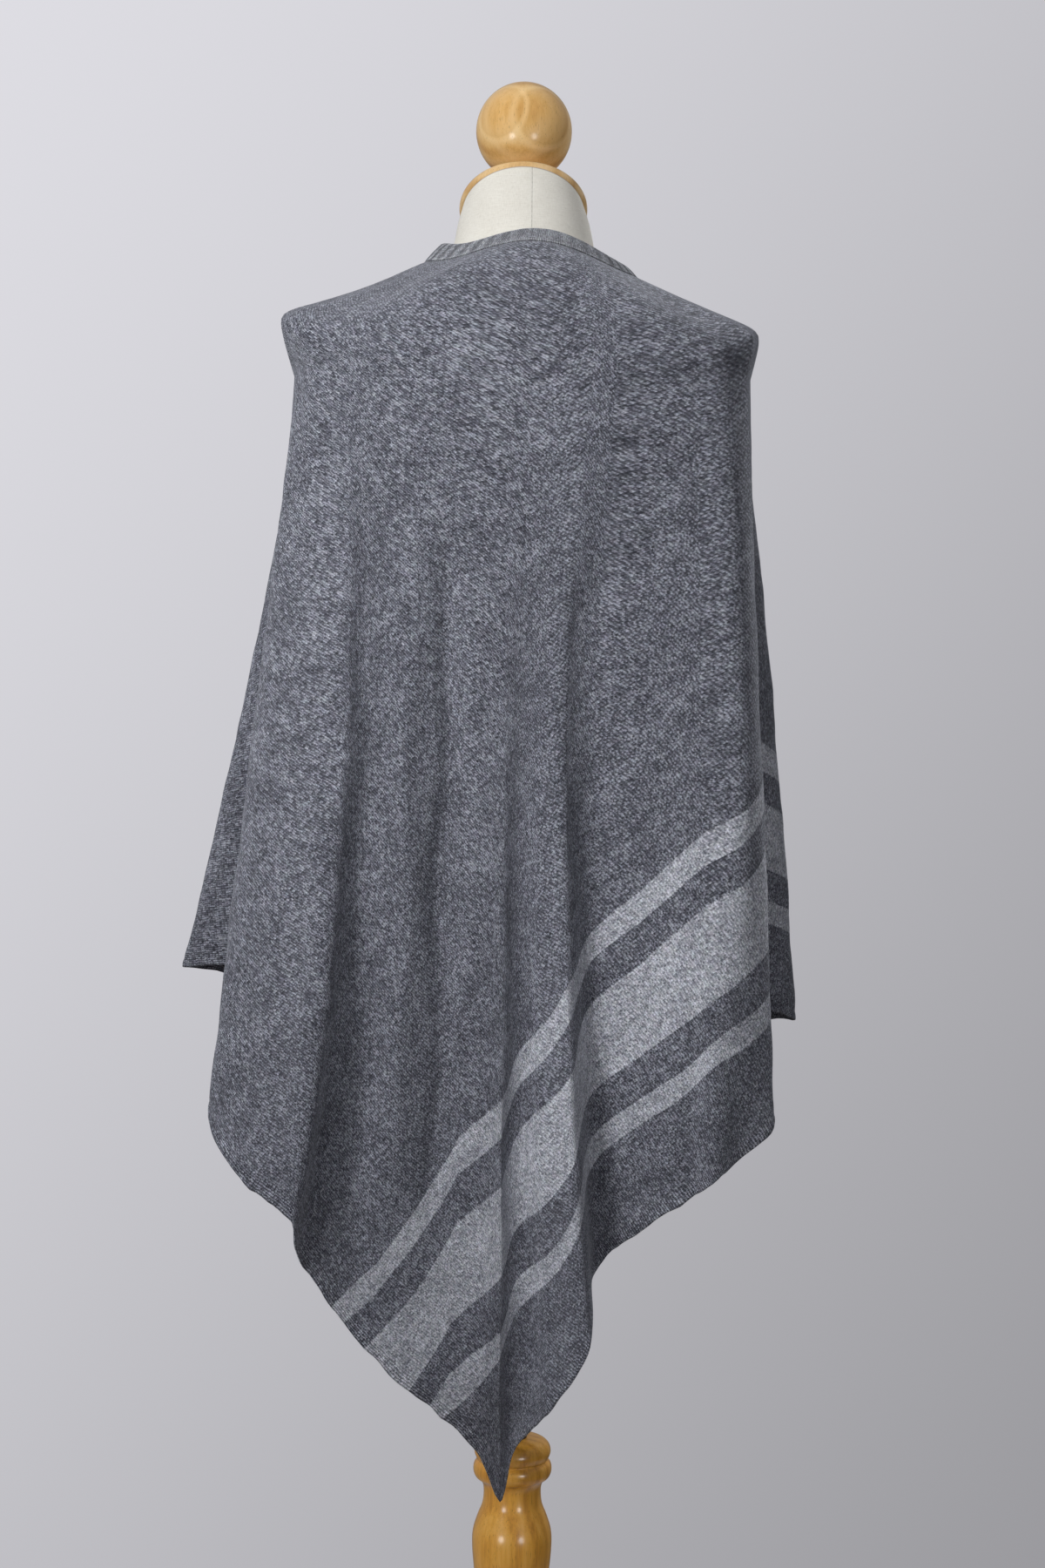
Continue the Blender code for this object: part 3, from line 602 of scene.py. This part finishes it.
def knit_material(name, dark, light, ribbed=False):
    """Heathered fine knit with a soft nap, striped by its distance from the right hem edge, or ribs."""
    nodes = Nodes(bpy.data.materials.new(name))
    place = nodes.add("ShaderNodeAttribute", output="Vector", attribute_name="fabric")
    right, left, hem = nodes.split(place)
    flat = nodes.vector(right, left, 0.0)

    # a wander of the rows, then a shade for each stitch, one along each yarn and one for its fibres
    row_at = nodes.linear(nodes.noise(flat, 70.0), 0.0030, right)
    if ribbed:
        wale_at = nodes.plus(left, RIB / 2)
    else:
        wale_at = nodes.linear(nodes.noise(flat, 55.0, 1.0), 0.0020, left)
    course, half_row, leg = (nodes.math("FLOOR", nodes.over(at, size)) for at, size in
                             ((row_at, COURSE), (row_at, COURSE / 2), (wale_at, WALE / 2)))
    stitch, tuft = (nodes.add("ShaderNodeTexWhiteNoise", {"Vector": nodes.vector(row, leg, seed)},
                              "Value") for row, seed in ((course, 0.0), (half_row, 7.0)))
    on_yarn = nodes.vector(nodes.times(course, 5.37), nodes.times(left, 210.0), 0.0)
    yarn = nodes.noise(on_yarn, 1.0, 3.0, 0.7)
    fibre = nodes.noise(flat, 1150.0, 2.0, 0.7)
    mottle = nodes.noise(flat, (130.0, 58.0, 1.0), 3.0, 0.58)
    cloud = nodes.noise(flat, (42.0, 17.0, 1.0))
    tone = 0.5
    for part, amount in ((stitch, 0.64), (tuft, 0.34), (yarn, 1.25), (fibre, 1.15), (mottle, 0.52),
                         (cloud, 0.42)):
        tone = nodes.linear(nodes.minus(part, 0.5), amount, tone)

    dark_tone, light_tone = (nodes.ramp(tone, zip((0.0, 0.5, 1.0), tones))
                             for tones in (dark, light))
    # painted shade: the colour is darkened in the grooves between the stitches and ribs, by their
    # height; on the panels more strongly near the hem
    height = stitches(nodes, wale_at, row_at, RIB if ribbed else WALE)
    if ribbed:
        chain = nodes.band(right, 0.0194, 0.0210, 0.0003)
        color = nodes.mix(nodes.times(chain, 0.45), light_tone, light[2])
        # painted shade: a dark line just below the ribs, where the band's linking groove lies in shadow
        seam = nodes.band(right, 0.0213, 0.0230, 0.0003)
        shade = nodes.times(nodes.linear(height, 0.95, 0.25), nodes.linear(seam, -0.32, 1.0))
    else:
        ragged = nodes.linear(nodes.noise(flat, 900.0, 1.0), 0.0024, right)
        ragged = nodes.minus(ragged, 0.0012)
        striped = reduce(nodes.plus, [nodes.band(ragged, low, high, 0.0004) for low, high in STRIPES])
        color = nodes.mix(striped, dark_tone, light_tone)
        depth = nodes.linear(striped, -0.35, 0.80)
        depth = nodes.linear(nodes.band(hem, -0.01, 0.013, 0.002), 0.65, depth)
        shade = nodes.linear(nodes.minus(height, 0.33), depth, 0.88)
        edge = nodes.linear(nodes.band(hem, -0.01, 0.0012, 0.0009), -0.28, 1.0)
        shade = nodes.times(shade, edge)
    grey = nodes.add("ShaderNodeCombineColor", {0: shade, 1: shade, 2: shade})
    color = nodes.mix(1.0, color, grey, "MULTIPLY")
    tint = nodes.noise(flat, 210.0, 4.0, 0.7, "Color")
    tint = nodes.add("ShaderNodeVectorMath",
                     {0: tint, 1: (0.22, 0.22, 0.22), 2: (0.89, 0.89, 0.89)},
                     operation="MULTIPLY_ADD")
    color = nodes.mix(1.0, color, tint, "MULTIPLY")
    fuzz = nodes.plus(fibre, nodes.times(stitch, 0.4))
    normal = nodes.bump(height, 0.00035, 0.8)
    normal = nodes.bump(fuzz, 0.0005, 0.7, normal)
    normal = nodes.bump(mottle, 0.0010, 0.25, normal)
    return nodes.finished({"Base Color": color, "Normal": normal, "Roughness": 0.95,
                           "Specular IOR Level": 0.15, "Sheen Weight": 0.30,
                           "Sheen Roughness": 0.55, "Sheen Tint": (0.80, 0.83, 0.90, 1.0)})


DARK_TONES = ((0.036, 0.037, 0.048), (0.131, 0.136, 0.166), (0.435, 0.453, 0.520))
LIGHT_TONES = ((0.155, 0.160, 0.192), (0.430, 0.445, 0.500), (0.850, 0.870, 0.930))
BAND_TONES = ((0.130, 0.132, 0.150), (0.345, 0.358, 0.395), (0.680, 0.705, 0.755))


def build_cloth():
    """The two panels as thin sheets over the CAD folds."""
    cloth = Cloth()
    flat, to_hem = cloth.flat, cloth.to_hem
    body, body_normal = cloth.grid[BAND_ROWS:], outward(cloth.grid)[BAND_ROWS:]
    free = smoothstep(HANG_Z, 1.16, body[..., 2])
    move = -crease_depth(body, body_normal) * free
    move += waviness(cloth, LOOSE) * free
    move += waviness(cloth, UNEVEN) * (0.3 + 0.7 * free)
    move += waviness(cloth, HEM_CURL)
    bead = bell(to_hem, *HEM_BEAD)
    move += BEAD_LIFT * bead - BEAD_LIFT * bell(to_hem, *HEM_GROOVE)
    move -= 0.0003 * bell(cloth.down, 0.0, 0.0022)      # the groove where the neckband is linked on
    outer = body + body_normal * move[..., None]
    from_point = np.linalg.norm(flat, axis=2)
    outer[..., 1] -= (TIP_CURL * np.sign(body[..., 1])
                      * (1 - smoothstep(0.0, TIP_CURL_REACH, from_point)))
    outer[..., 2] -= TIP_DROP * (bell(from_point, 0.0, TIP_BEND)
                                 - TIP_LIFT * bell(from_point, 0.0, TIP_END))
    down = np.gradient(body, axis=0)
    down /= np.linalg.norm(down, axis=2, keepdims=True)
    wave = waviness(cloth, HEM_WAVE)
    wave += waviness(cloth, HEM_RAGGED)
    outer += down * (wave * smoothstep(0.01, 0.05, from_point))[..., None]
    normal_out = outward(outer)
    thick = WALL * (1.0 + 0.25 * bead)
    middle = outer - normal_out * (thick / 2)[..., None]
    half = (thick / 2) * rounded(to_hem, 0.0011)
    outer = middle + normal_out * half[..., None]
    inner = middle - normal_out * half[..., None]

    knit = knit_material("dark_knit", DARK_TONES, LIGHT_TONES)
    columns = body.shape[1]
    for name, node, start, end in (("poncho_back", "back_panel", 0, cloth.split),
                                   ("poncho_front", "front_panel", cloth.split, columns)):
        index = np.arange(start, end + 1) % columns
        sides = []
        for side in (outer, inner):
            panel = side[:, index].copy()
            for edge_at, column, distance in ((0, start, SEAM_GAP / 2),
                                              (-1, end % columns, -SEAM_GAP / 2)):
                panel[:, edge_at] = parted(panel[:, edge_at], side[:, column - 1],
                                           side[:, (column + 1) % columns], distance)
            sides.append(panel)
        mesh = shell_mesh(name, *sides, closed=False)
        place = np.concatenate([cloth.pattern[:, index], to_hem[:, index, None]], axis=2)
        set_vectors(mesh, "fabric", [place, place])
        mesh.materials.append(knit)
        piece = link(name, mesh)
        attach(piece, "root")
        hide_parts(node)
    return cloth


def build_neckband(cloth):
    """The ribbed neckband, with real ribs."""
    grid = cloth.grid[:BAND_ROWS + 1]
    closed = np.concatenate([grid, grid[:, :1]], axis=1)
    run = run_along(closed[-1])
    count = RIBS * len(RIB_HEIGHTS)
    at = np.arange(count) / count * run[-1]
    fine = np.stack([np.column_stack([np.interp(at, run, line[:, axis]) for axis in range(3)])
                     for line in closed])
    normal = outward(fine)
    rib = np.tile(RIB_HEIGHTS, RIBS)[None, :]
    row = np.arange(BAND_ROWS + 1) / BAND_ROWS
    soft = smoothstep(0.0, 0.12, row)[:, None] * (1 - smoothstep(0.90, 1.0, row))[:, None]
    crown = 0.0006 * np.sin(math.pi * row)[:, None]
    lift = rib * (0.25 + 0.75 * soft) + crown
    chain = 0.0005 * bell(row, 0.93, 0.05)[:, None]
    half = (0.0013 * rounded(row, 0.08))[:, None]
    middle = fine - normal * (WALL / 2)
    outer = middle + normal * (half + lift + chain)[..., None]
    inner = middle - normal * (half * np.ones_like(rib) - 0.2 * rib)[..., None]
    mesh = shell_mesh("poncho_neckband", outer, inner, closed=True)
    place = np.stack([np.broadcast_to((row * BAND_DEPTH)[:, None], lift.shape),
                      np.broadcast_to(at[None, :], lift.shape), np.full(lift.shape, 0.1)], axis=-1)
    set_vectors(mesh, "fabric", [place, place])
    mesh.materials.append(knit_material("light_knit", DARK_TONES, BAND_TONES, ribbed=True))
    piece = link("poncho_neckband", mesh)
    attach(piece, "root")
    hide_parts("neckband")


# ---------------------------------------------------------------- the dress form, as in the CAD model
Section = namedtuple("Section", "z half_w back front")
TORSO_SECTIONS = (
    Section(0.740, 0.134, 0.092, 0.084),
    Section(0.748, 0.147, 0.104, 0.092),
    Section(0.800, 0.160, 0.117, 0.101),
    Section(0.870, 0.156, 0.112, 0.098),
    Section(0.940, 0.134, 0.093, 0.090),
    Section(1.000, 0.119, 0.083, 0.087),
    Section(1.060, 0.124, 0.086, 0.095),
    Section(1.120, 0.137, 0.093, 0.113),
    Section(1.170, 0.147, 0.101, 0.120),
    Section(1.220, 0.163, 0.108, 0.113),
    Section(1.270, 0.180, 0.110, 0.104),
    Section(HANG_Z, 0.1875, 0.110, 0.099),
)
TORSO_POWER = 2.5
TORSO_SHOULDER = Ring(-0.0030, -0.0035, 0.2085, 0.1035, 1.3555, 1.3660, 1.3420, 1.3200, 0.030, 2.5)
TORSO_NECK_ROOT = Ring(0.0030, 0.0070, 0.0720, 0.0640, 1.4075, 1.4020, 1.3975, 1.3650, 0.004, 2.0)
NECK_R = 0.0535
NECK_DEPTH_R = 0.0520
NECK_HOLLOW = 0.55
CAP_CENTRE = (0.0, 0.010, 1.4485)
CAP_TILT = math.radians(29)
CAP_R = 0.0562
CAP_THICK = 0.0120
CAP_RIM = ((-1.0, 0.0045), (-0.65, 0.0012), (0.0, 0.0), (0.65, 0.0012), (1.0, 0.0050))
REST_GAP = 0.0003
BALL_R = 0.042
BALL_Z = 1.522
STEM_R = 0.0140
# Arcs of pale wood on the ball: middle, radius, width, how pale the arc is, how dark the wood inside.
BALL_ARCS = (((0.0021, -0.0312, 1.5292), 0.0380, 0.0065, 0.55, 0.0),
             ((0.0210, -0.0260, 1.5265), 0.0294, 0.0048, 0.80, 0.26),
             ((-0.0231, -0.0236, 1.5316), 0.0253, 0.0042, 0.70, 0.22))
# Three tones of a wood, the heart of its growth rings, rings to the metre along each axis, its
# roughness and how strongly the rings show.
Wood = namedtuple("Wood", "pale mid deep heart pace roughness rings arcs", defaults=(0.34, ()))
WOODS = {
    "ball_wood": Wood((0.860, 0.605, 0.290), (0.745, 0.455, 0.160), (0.530, 0.260, 0.062),
                      (0.010, 0.052, BALL_Z - 0.070), (58.0, 58.0, 9.0), 0.34, arcs=BALL_ARCS),
    "stand_wood": Wood((0.940, 0.560, 0.145), (0.790, 0.390, 0.056), (0.420, 0.145, 0.018),
                       (0.040, 0.050, 0.10), (85.0, 85.0, 5.0), 0.30, rings=0.16),
    "base_wood": Wood((0.760, 0.440, 0.135), (0.610, 0.305, 0.068), (0.420, 0.175, 0.030),
                      (1.30, 0.35, 0.0), (26.0, 9.0, 30.0), 0.30),
    "cap_wood": Wood((0.780, 0.580, 0.330), (0.690, 0.460, 0.210), (0.540, 0.310, 0.110),
                     (0.09, 0.12, 1.40), (40.0, 40.0, 30.0), 0.38),
}
COLUMN_PROFILE = (
    (0.0283, 0.0480), (0.0340, 0.0520), (0.0440, 0.0520), (0.0500, 0.0470), (0.0560, 0.0370),
    (0.0750, 0.0300), (0.1050, 0.0255), (0.1350, 0.0250), (0.1420, 0.0300), (0.1520, 0.0315),
    (0.1620, 0.0300), (0.1680, 0.0250), (0.1900, 0.0262), (0.2250, 0.0290), (0.2600, 0.0322),
    (0.2850, 0.0345), (0.3000, 0.0340), (0.3130, 0.0300), (0.3240, 0.0258), (0.3370, 0.0250),
    (0.3440, 0.0275), (0.3470, 0.0318), (0.3520, 0.0340), (0.3580, 0.0335), (0.3615, 0.0305),
    (0.3635, 0.0315), (0.3690, 0.0333), (0.3750, 0.0315), (0.3790, 0.0260), (0.3805, 0.0180),
)
BASE_PROFILE = (
    (0.0000, 0.1680), (0.0060, 0.1740), (0.0140, 0.1750), (0.0190, 0.1720), (0.0220, 0.1640),
    (0.0235, 0.1450), (0.0250, 0.1000), (0.0280, 0.0560),
)
SKIN_INSET = 0.0008    # the finer torso lies this far inside the CAD one under the cloth
TORSO_COLUMNS = 176
TURNED_COLUMNS = 120
SEAM_X = 0.0073        # plane of the centre seams
SEAM_Y = 0.0020        # plane of the side seams


def smooth_through(rows, steps):
    """A Catmull-Rom curve through rows of numbers, with this many steps to each interval."""
    rows = np.asarray(rows, float)
    padded = np.vstack([2 * rows[0] - rows[1], rows, 2 * rows[-1] - rows[-2]])
    made = []
    for i in range(1, len(padded) - 2):
        p0, p1, p2, p3 = padded[i - 1:i + 3]
        for step in range(steps):
            u = step / steps
            made.append(0.5 * (2 * p1 + (p2 - p0) * u + (2 * p0 - 5 * p1 + 4 * p2 - p3) * u**2
                               + (3 * p1 - p0 - 3 * p2 + p3) * u**3))
    made.append(rows[-1])
    return np.array(made)


def lofted(name, rings, material, node, sharp_deg=50):
    """A closed body through rings of points from the bottom up, riding in its node's place."""
    rings = np.asarray(rings)
    levels, count, _ = rings.shape
    faces = grid_faces(levels, count, closed=True, flip=True).tolist()
    faces.append(list(range(count))[::-1])
    faces.append(list(range((levels - 1) * count, levels * count)))
    mesh = mesh_of(name, rings, faces)
    mesh.set_sharp_from_angle(angle=math.radians(sharp_deg))
    mesh.materials.append(material)
    piece = link(name, mesh)
    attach(piece, "root")
    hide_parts(node)


def cap_plane_z(x, y, lift):
    """Height of the plane on which the neck is cut, raised by lift along its normal."""
    return CAP_CENTRE[2] + lift / math.cos(CAP_TILT) - (y - CAP_CENTRE[1]) * math.tan(CAP_TILT)


def build_torso():
    """The linen-covered torso as a finer surface over its CAD sections."""
    bearings = np.arange(TORSO_COLUMNS) * 360.0 / TORSO_COLUMNS
    turn = np.radians(bearings)
    cos, sin = np.cos(turn), np.sin(turn)
    shape = 2.0 / TORSO_POWER
    rings = []
    for z, half_w, back, front in smooth_through(TORSO_SECTIONS, 6):
        depth = np.where(sin > 0, back, front) - SKIN_INSET
        half_w -= SKIN_INSET
        rings.append(np.column_stack([-half_w * np.sign(cos) * np.abs(cos) ** shape,
                                      -depth * np.sign(sin) * np.abs(sin) ** shape,
                                      np.full(TORSO_COLUMNS, z)]))
    shoulder_rows = 40
    paths = []
    for bearing, low in zip(bearings, rings[-1]):
        knee = ring_points(TORSO_SHOULDER, [bearing])[0]
        root = ring_points(TORSO_NECK_ROOT, [bearing])[0]
        paths.append(shoulder_path(bearing, root, knee, low, shoulder_rows)[::-1])
    shoulder = np.array(paths).transpose(1, 0, 2)
    fade = np.sin(np.linspace(0.0, math.pi, shoulder_rows + 1))[:, None, None] ** 0.5
    shoulder = shoulder + outward(shoulder) * SKIN_INSET * fade
    rings.extend(shoulder[1:])
    x = -NECK_R * cos
    y = CAP_CENTRE[1] - NECK_DEPTH_R * sin
    top = np.column_stack([x, y, cap_plane_z(x, y, -REST_GAP)])
    root = shoulder[-1]
    for share in np.linspace(0.0, 1.0, 15)[1:]:
        ring = root + (top - root) * share
        pull = NECK_HOLLOW * math.sin(math.pi * share) * (1 - share)
        ring[:, :2] += (top[:, :2] - ring[:, :2]) * pull
        rings.append(ring)
    lofted("torso_linen", rings, linen_material(), "torso")


def linen_material():
    """Cream linen with a plain weave, uneven threads and fine seams."""
    nodes = Nodes(bpy.data.materials.new("linen"))
    place = nodes.add("ShaderNodeTexCoord", output="Object")
    x, y, z = nodes.split(place)
    level = nodes.noise(place, (160.0, 160.0, 1900.0), 2.0, 0.6)
    upright = nodes.noise(place, (1900.0, 1900.0, 150.0), 2.0, 0.6)
    tone = nodes.plus(nodes.times(level, 0.5), nodes.times(upright, 0.5))
    tone = nodes.linear(nodes.noise(place, 38.0, 3.0), 0.30, tone)
    color = nodes.ramp(tone, ((0.35, (0.580, 0.550, 0.480)), (0.62, (0.705, 0.682, 0.615)),
                              (0.90, (0.790, 0.772, 0.710))))
    center = nodes.band(nodes.minus(x, SEAM_X), -0.00022, 0.00022, 0.00025)
    sides = nodes.band(nodes.minus(y, SEAM_Y), -0.00032, 0.00032, 0.00025)
    seam = nodes.math("MAXIMUM", center, nodes.times(sides, nodes.rise(z, 1.36, 1.34)))
    stitch = nodes.math("SINE", nodes.times(z, 2 * math.pi / 0.0042))
    dash = nodes.linear(stitch, 0.22, 0.42)
    color = nodes.mix(nodes.times(seam, dash), color, (0.34, 0.31, 0.26))
    # the shade just under the neck cap
    below = nodes.linear(y, -math.tan(CAP_TILT), cap_plane_z(0.0, 0.0, -REST_GAP))
    shade = nodes.band(nodes.minus(below, z), -0.001, 0.0007, 0.0005)
    color = nodes.mix(nodes.times(shade, 0.70), color, (0.20, 0.11, 0.07))
    normal = nodes.bump(nodes.plus(level, upright), 0.00022, 0.5)
    return nodes.finished({"Base Color": color, "Normal": nodes.bump(seam, 0.0006, 0.8, normal),
                           "Roughness": 0.88, "Specular IOR Level": 0.25, "Sheen Weight": 0.12})


def wood_material(name):
    """Varnished wood: growth rings cut at a slant, fine pores along the grain and arcs of pale wood."""
    wood = WOODS[name]
    nodes = Nodes(bpy.data.materials.new(name))
    place = nodes.add("ShaderNodeTexCoord", output="Object")
    moved = nodes.vector_math("SUBTRACT", place, wood.heart)
    warp = nodes.noise(moved, (14.0, 14.0, 5.0))
    x, y, z = nodes.split(nodes.vector_math("MULTIPLY", moved, wood.pace))
    away = nodes.math("SQRT", nodes.plus(nodes.math("POWER", x, 2.0), nodes.math("POWER", y, 2.0)))
    away = nodes.linear(warp, 1.3, nodes.plus(away, z))
    ring = nodes.math("SINE", nodes.times(away, 2 * math.pi))
    ring = nodes.math("POWER", nodes.linear(ring, 0.5, 0.5), 1.6)
    streak = nodes.noise(moved, (420.0, 420.0, 26.0), 3.0, 0.6)
    streaked = nodes.linear(streak, 0.52, (0.34 - wood.rings) / 2)
    tone = nodes.linear(ring, wood.rings, streaked)
    tone = nodes.linear(nodes.noise(moved, (60.0, 60.0, 9.0)), 0.35, tone)
    color = nodes.ramp(tone, ((0.22, wood.pale), (0.58, wood.mid), (0.95, wood.deep)))
    for middle, radius, width, paleness, darkness in wood.arcs:
        off = nodes.vector_math("DISTANCE", place, middle, "Value")
        off = nodes.linear(warp, 0.016, nodes.minus(off, 0.008))
        inside = nodes.band(off, -0.02, radius - width / 2, width / 4)
        color = nodes.mix(nodes.times(inside, darkness), color, wood.deep)
        arc = nodes.band(off, radius - width / 3, radius + width / 2, width / 2)
        color = nodes.mix(nodes.times(arc, paleness), color, wood.pale)
    pores = nodes.rise(nodes.noise(moved, (1500.0, 1500.0, 150.0)), 0.62, 0.74)
    color = nodes.mix(nodes.times(pores, 0.60), color, tuple(c * 0.45 for c in wood.deep))
    return nodes.finished({"Base Color": color, "Normal": nodes.bump(streak, 0.0002, 0.25),
                           "Roughness": wood.roughness, "Specular IOR Level": 0.30,
                           "Coat Weight": 0.45, "Coat Roughness": 0.16})


def ring_at(radius, count, z, y=0.0):
    """A level circle of points."""
    turn = np.arange(count) * 2 * math.pi / count
    return np.column_stack([radius * np.cos(turn), y + radius * np.sin(turn), np.full(count, z)])


def build_stand():
    """Neck cap, ball, turned column and base as finer turned pieces; the pole keeps its CAD shape."""
    for name, profile, steps, wood in (("column", COLUMN_PROFILE, 5, "stand_wood"),
                                       ("base", BASE_PROFILE, 6, "base_wood")):
        rings = [ring_at(radius, TURNED_COLUMNS, z) for z, radius in smooth_through(profile, steps)]
        lofted(f"{name}_wood", rings, wood_material(wood), name)

    turn = np.arange(TURNED_COLUMNS) * 2 * math.pi / TURNED_COLUMNS
    rings = []
    for height, inset in smooth_through(CAP_RIM, 5):
        radius = CAP_R - inset
        flat_y = radius * np.sin(turn)
        lift = CAP_THICK / 2 * (1 + height)
        rings.append(np.column_stack([
            radius * np.cos(turn),
            CAP_CENTRE[1] + flat_y * math.cos(CAP_TILT) + lift * math.sin(CAP_TILT),
            CAP_CENTRE[2] - flat_y * math.sin(CAP_TILT) + lift * math.cos(CAP_TILT)]))
    lofted("neck_cap_wood", rings, wood_material("cap_wood"), "neck_cap")

    x, y = STEM_R * np.cos(turn), CAP_CENTRE[1] + STEM_R * np.sin(turn)
    rings = [np.column_stack([x, y, cap_plane_z(x, y, CAP_THICK + REST_GAP)])]
    for rise in np.linspace(-math.acos(STEM_R / BALL_R), math.radians(88.5), 60):
        rings.append(ring_at(BALL_R * math.cos(rise), TURNED_COLUMNS,
                             BALL_Z + BALL_R * math.sin(rise), CAP_CENTRE[1]))
    lofted("ball_wood", rings, wood_material("ball_wood"), "finial", 60)

    metal = Nodes(bpy.data.materials.new("pole_metal"))
    place = metal.add("ShaderNodeTexCoord", output="Object")
    lines = metal.noise(place, (1400.0, 1400.0, 20.0), 2.0, 0.6)
    color = metal.ramp(lines, ((0.3, (0.085, 0.080, 0.075)), (0.7, (0.17, 0.16, 0.15))))
    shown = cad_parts["pole"].data.materials
    shown.clear()
    shown.append(metal.finished({"Base Color": color, "Metallic": 1.0, "Roughness": 0.36,
                                 "Normal": metal.bump(lines, 0.0001, 0.3)}))


# ---------------------------------------------------------------- studio
CAMERA_AT = (0.0036, -1.90, 0.95)
CAMERA_ROLL_DEG = -0.5
LENS = 50.0
SENSOR = 36.0
FLOOR_R = 0.75
FLOOR_SOLID_R = 0.30
FLOOR_COLUMNS = 96
ROOM_LEAN = (-0.09, 0.0, 0.20)     # how the room's light changes with direction
ROOM_LIGHT = 0.170
WALL_LEAN = (-0.40, 0.0, 0.29)     # the direction in which the wall grows paler in the picture
WALL_SPAN = (-0.36, 0.31)
WALL_LEVELS = (0.235, 0.785)
ROOM_TINT = (0.993, 0.985, 1.045)


def area_light(name, place, target, size, power, spread_deg=180.0, shine=False):
    """A round soft light that looks at a point and either lights surfaces or makes their highlights."""
    light = bpy.data.lights.new(name, "AREA")
    light.shape = "DISK"
    light.size = size
    light.energy = power
    light.spread = math.radians(spread_deg)
    made = link(name, light)
    made.location = place
    made.rotation_euler = (Vector(target) - Vector(place)).to_track_quat("-Z", "Y").to_euler()
    made.visible_glossy = shine
    made.visible_diffuse = not shine


def build_studio():
    """Camera, soft lights, a pale room and a pale floor that fades into it."""
    scene = bpy.context.scene
    camera = bpy.data.cameras.new("camera")
    camera.lens = LENS
    camera.sensor_width = SENSOR
    holder = link("camera", camera)
    holder.location = CAMERA_AT
    holder.rotation_euler = (math.radians(90), math.radians(CAMERA_ROLL_DEG), 0.0)
    scene.camera = holder
    scene.view_settings.view_transform = "Standard"

    room = Nodes(bpy.data.worlds.new("room"), "Background")
    direction = room.add("ShaderNodeTexCoord", output="Generated")
    lit = room.plus(room.vector_math("DOT_PRODUCT", direction, ROOM_LEAN, "Value"), ROOM_LIGHT)
    along = room.vector_math("DOT_PRODUCT", direction, WALL_LEAN, "Value")
    seen = room.add("ShaderNodeMapRange", {"Value": along, 1: WALL_SPAN[0], 2: WALL_SPAN[1],
                                           3: WALL_LEVELS[0], 4: WALL_LEVELS[1]},
                    interpolation_type="SMOOTHSTEP")
    by_camera = room.add("ShaderNodeLightPath", output="Is Camera Ray")
    level = room.add("ShaderNodeMix", {"Factor": by_camera, "A": lit, "B": seen}, "Result")
    tinted = room.add("ShaderNodeVectorMath", {0: ROOM_TINT, "Scale": level}, operation="SCALE")
    scene.world = room.finished({"Color": tinted})

    area_light("key", (-1.40, -1.80, 2.02), (0.0, 0.0, 1.12), 0.85, 4.75, 52.0)
    area_light("fill", (1.25, -2.17, 1.10), (0.14, 0.0, 1.00), 0.8, 1.12, 66.0)
    area_light("front_key", (1.30, 1.90, 1.90), (0.0, 0.0, 1.05), 0.9, 11.0, 100.0)
    area_light("front_fill", (-1.30, 2.10, 1.10), (0.0, 0.0, 0.95), 0.9, 7.0)
    area_light("left_shine", (-1.20, -2.00, 0.50), (0.0, 0.0, 1.30), 0.60, 13.0, shine=True)
    area_light("right_shine", (1.05, -2.05, 0.46), (0.0, 0.0, 1.30), 0.60, 11.0, shine=True)
    area_light("neck_fill", (0.85, -0.95, 1.72), (0.01, -0.03, 1.50), 0.30, 0.10, 34.0)

    nodes = Nodes(bpy.data.materials.new("floor"))
    place = nodes.add("ShaderNodeTexCoord", output="Object")
    away = nodes.add("ShaderNodeVectorMath", {0: place}, "Value", operation="LENGTH")
    fade = nodes.add("ShaderNodeMapRange", {"Value": away, 1: FLOOR_SOLID_R, 2: FLOOR_R - 0.03,
                                            3: 1.0, 4: 0.0}, interpolation_type="SMOOTHERSTEP")
    floor = bpy.data.meshes.new("floor")
    rim = ring_at(FLOOR_R, FLOOR_COLUMNS, 0.0).tolist()
    floor.from_pydata(rim, [], [list(range(FLOOR_COLUMNS))])
    floor.materials.append(nodes.finished({"Base Color": (0.60, 0.594, 0.625, 1.0),
                                           "Roughness": 0.9, "Alpha": fade}))
    link("floor", floor)


cloth_surface = build_cloth()
build_neckband(cloth_surface)
build_torso()
build_stand()
build_studio()
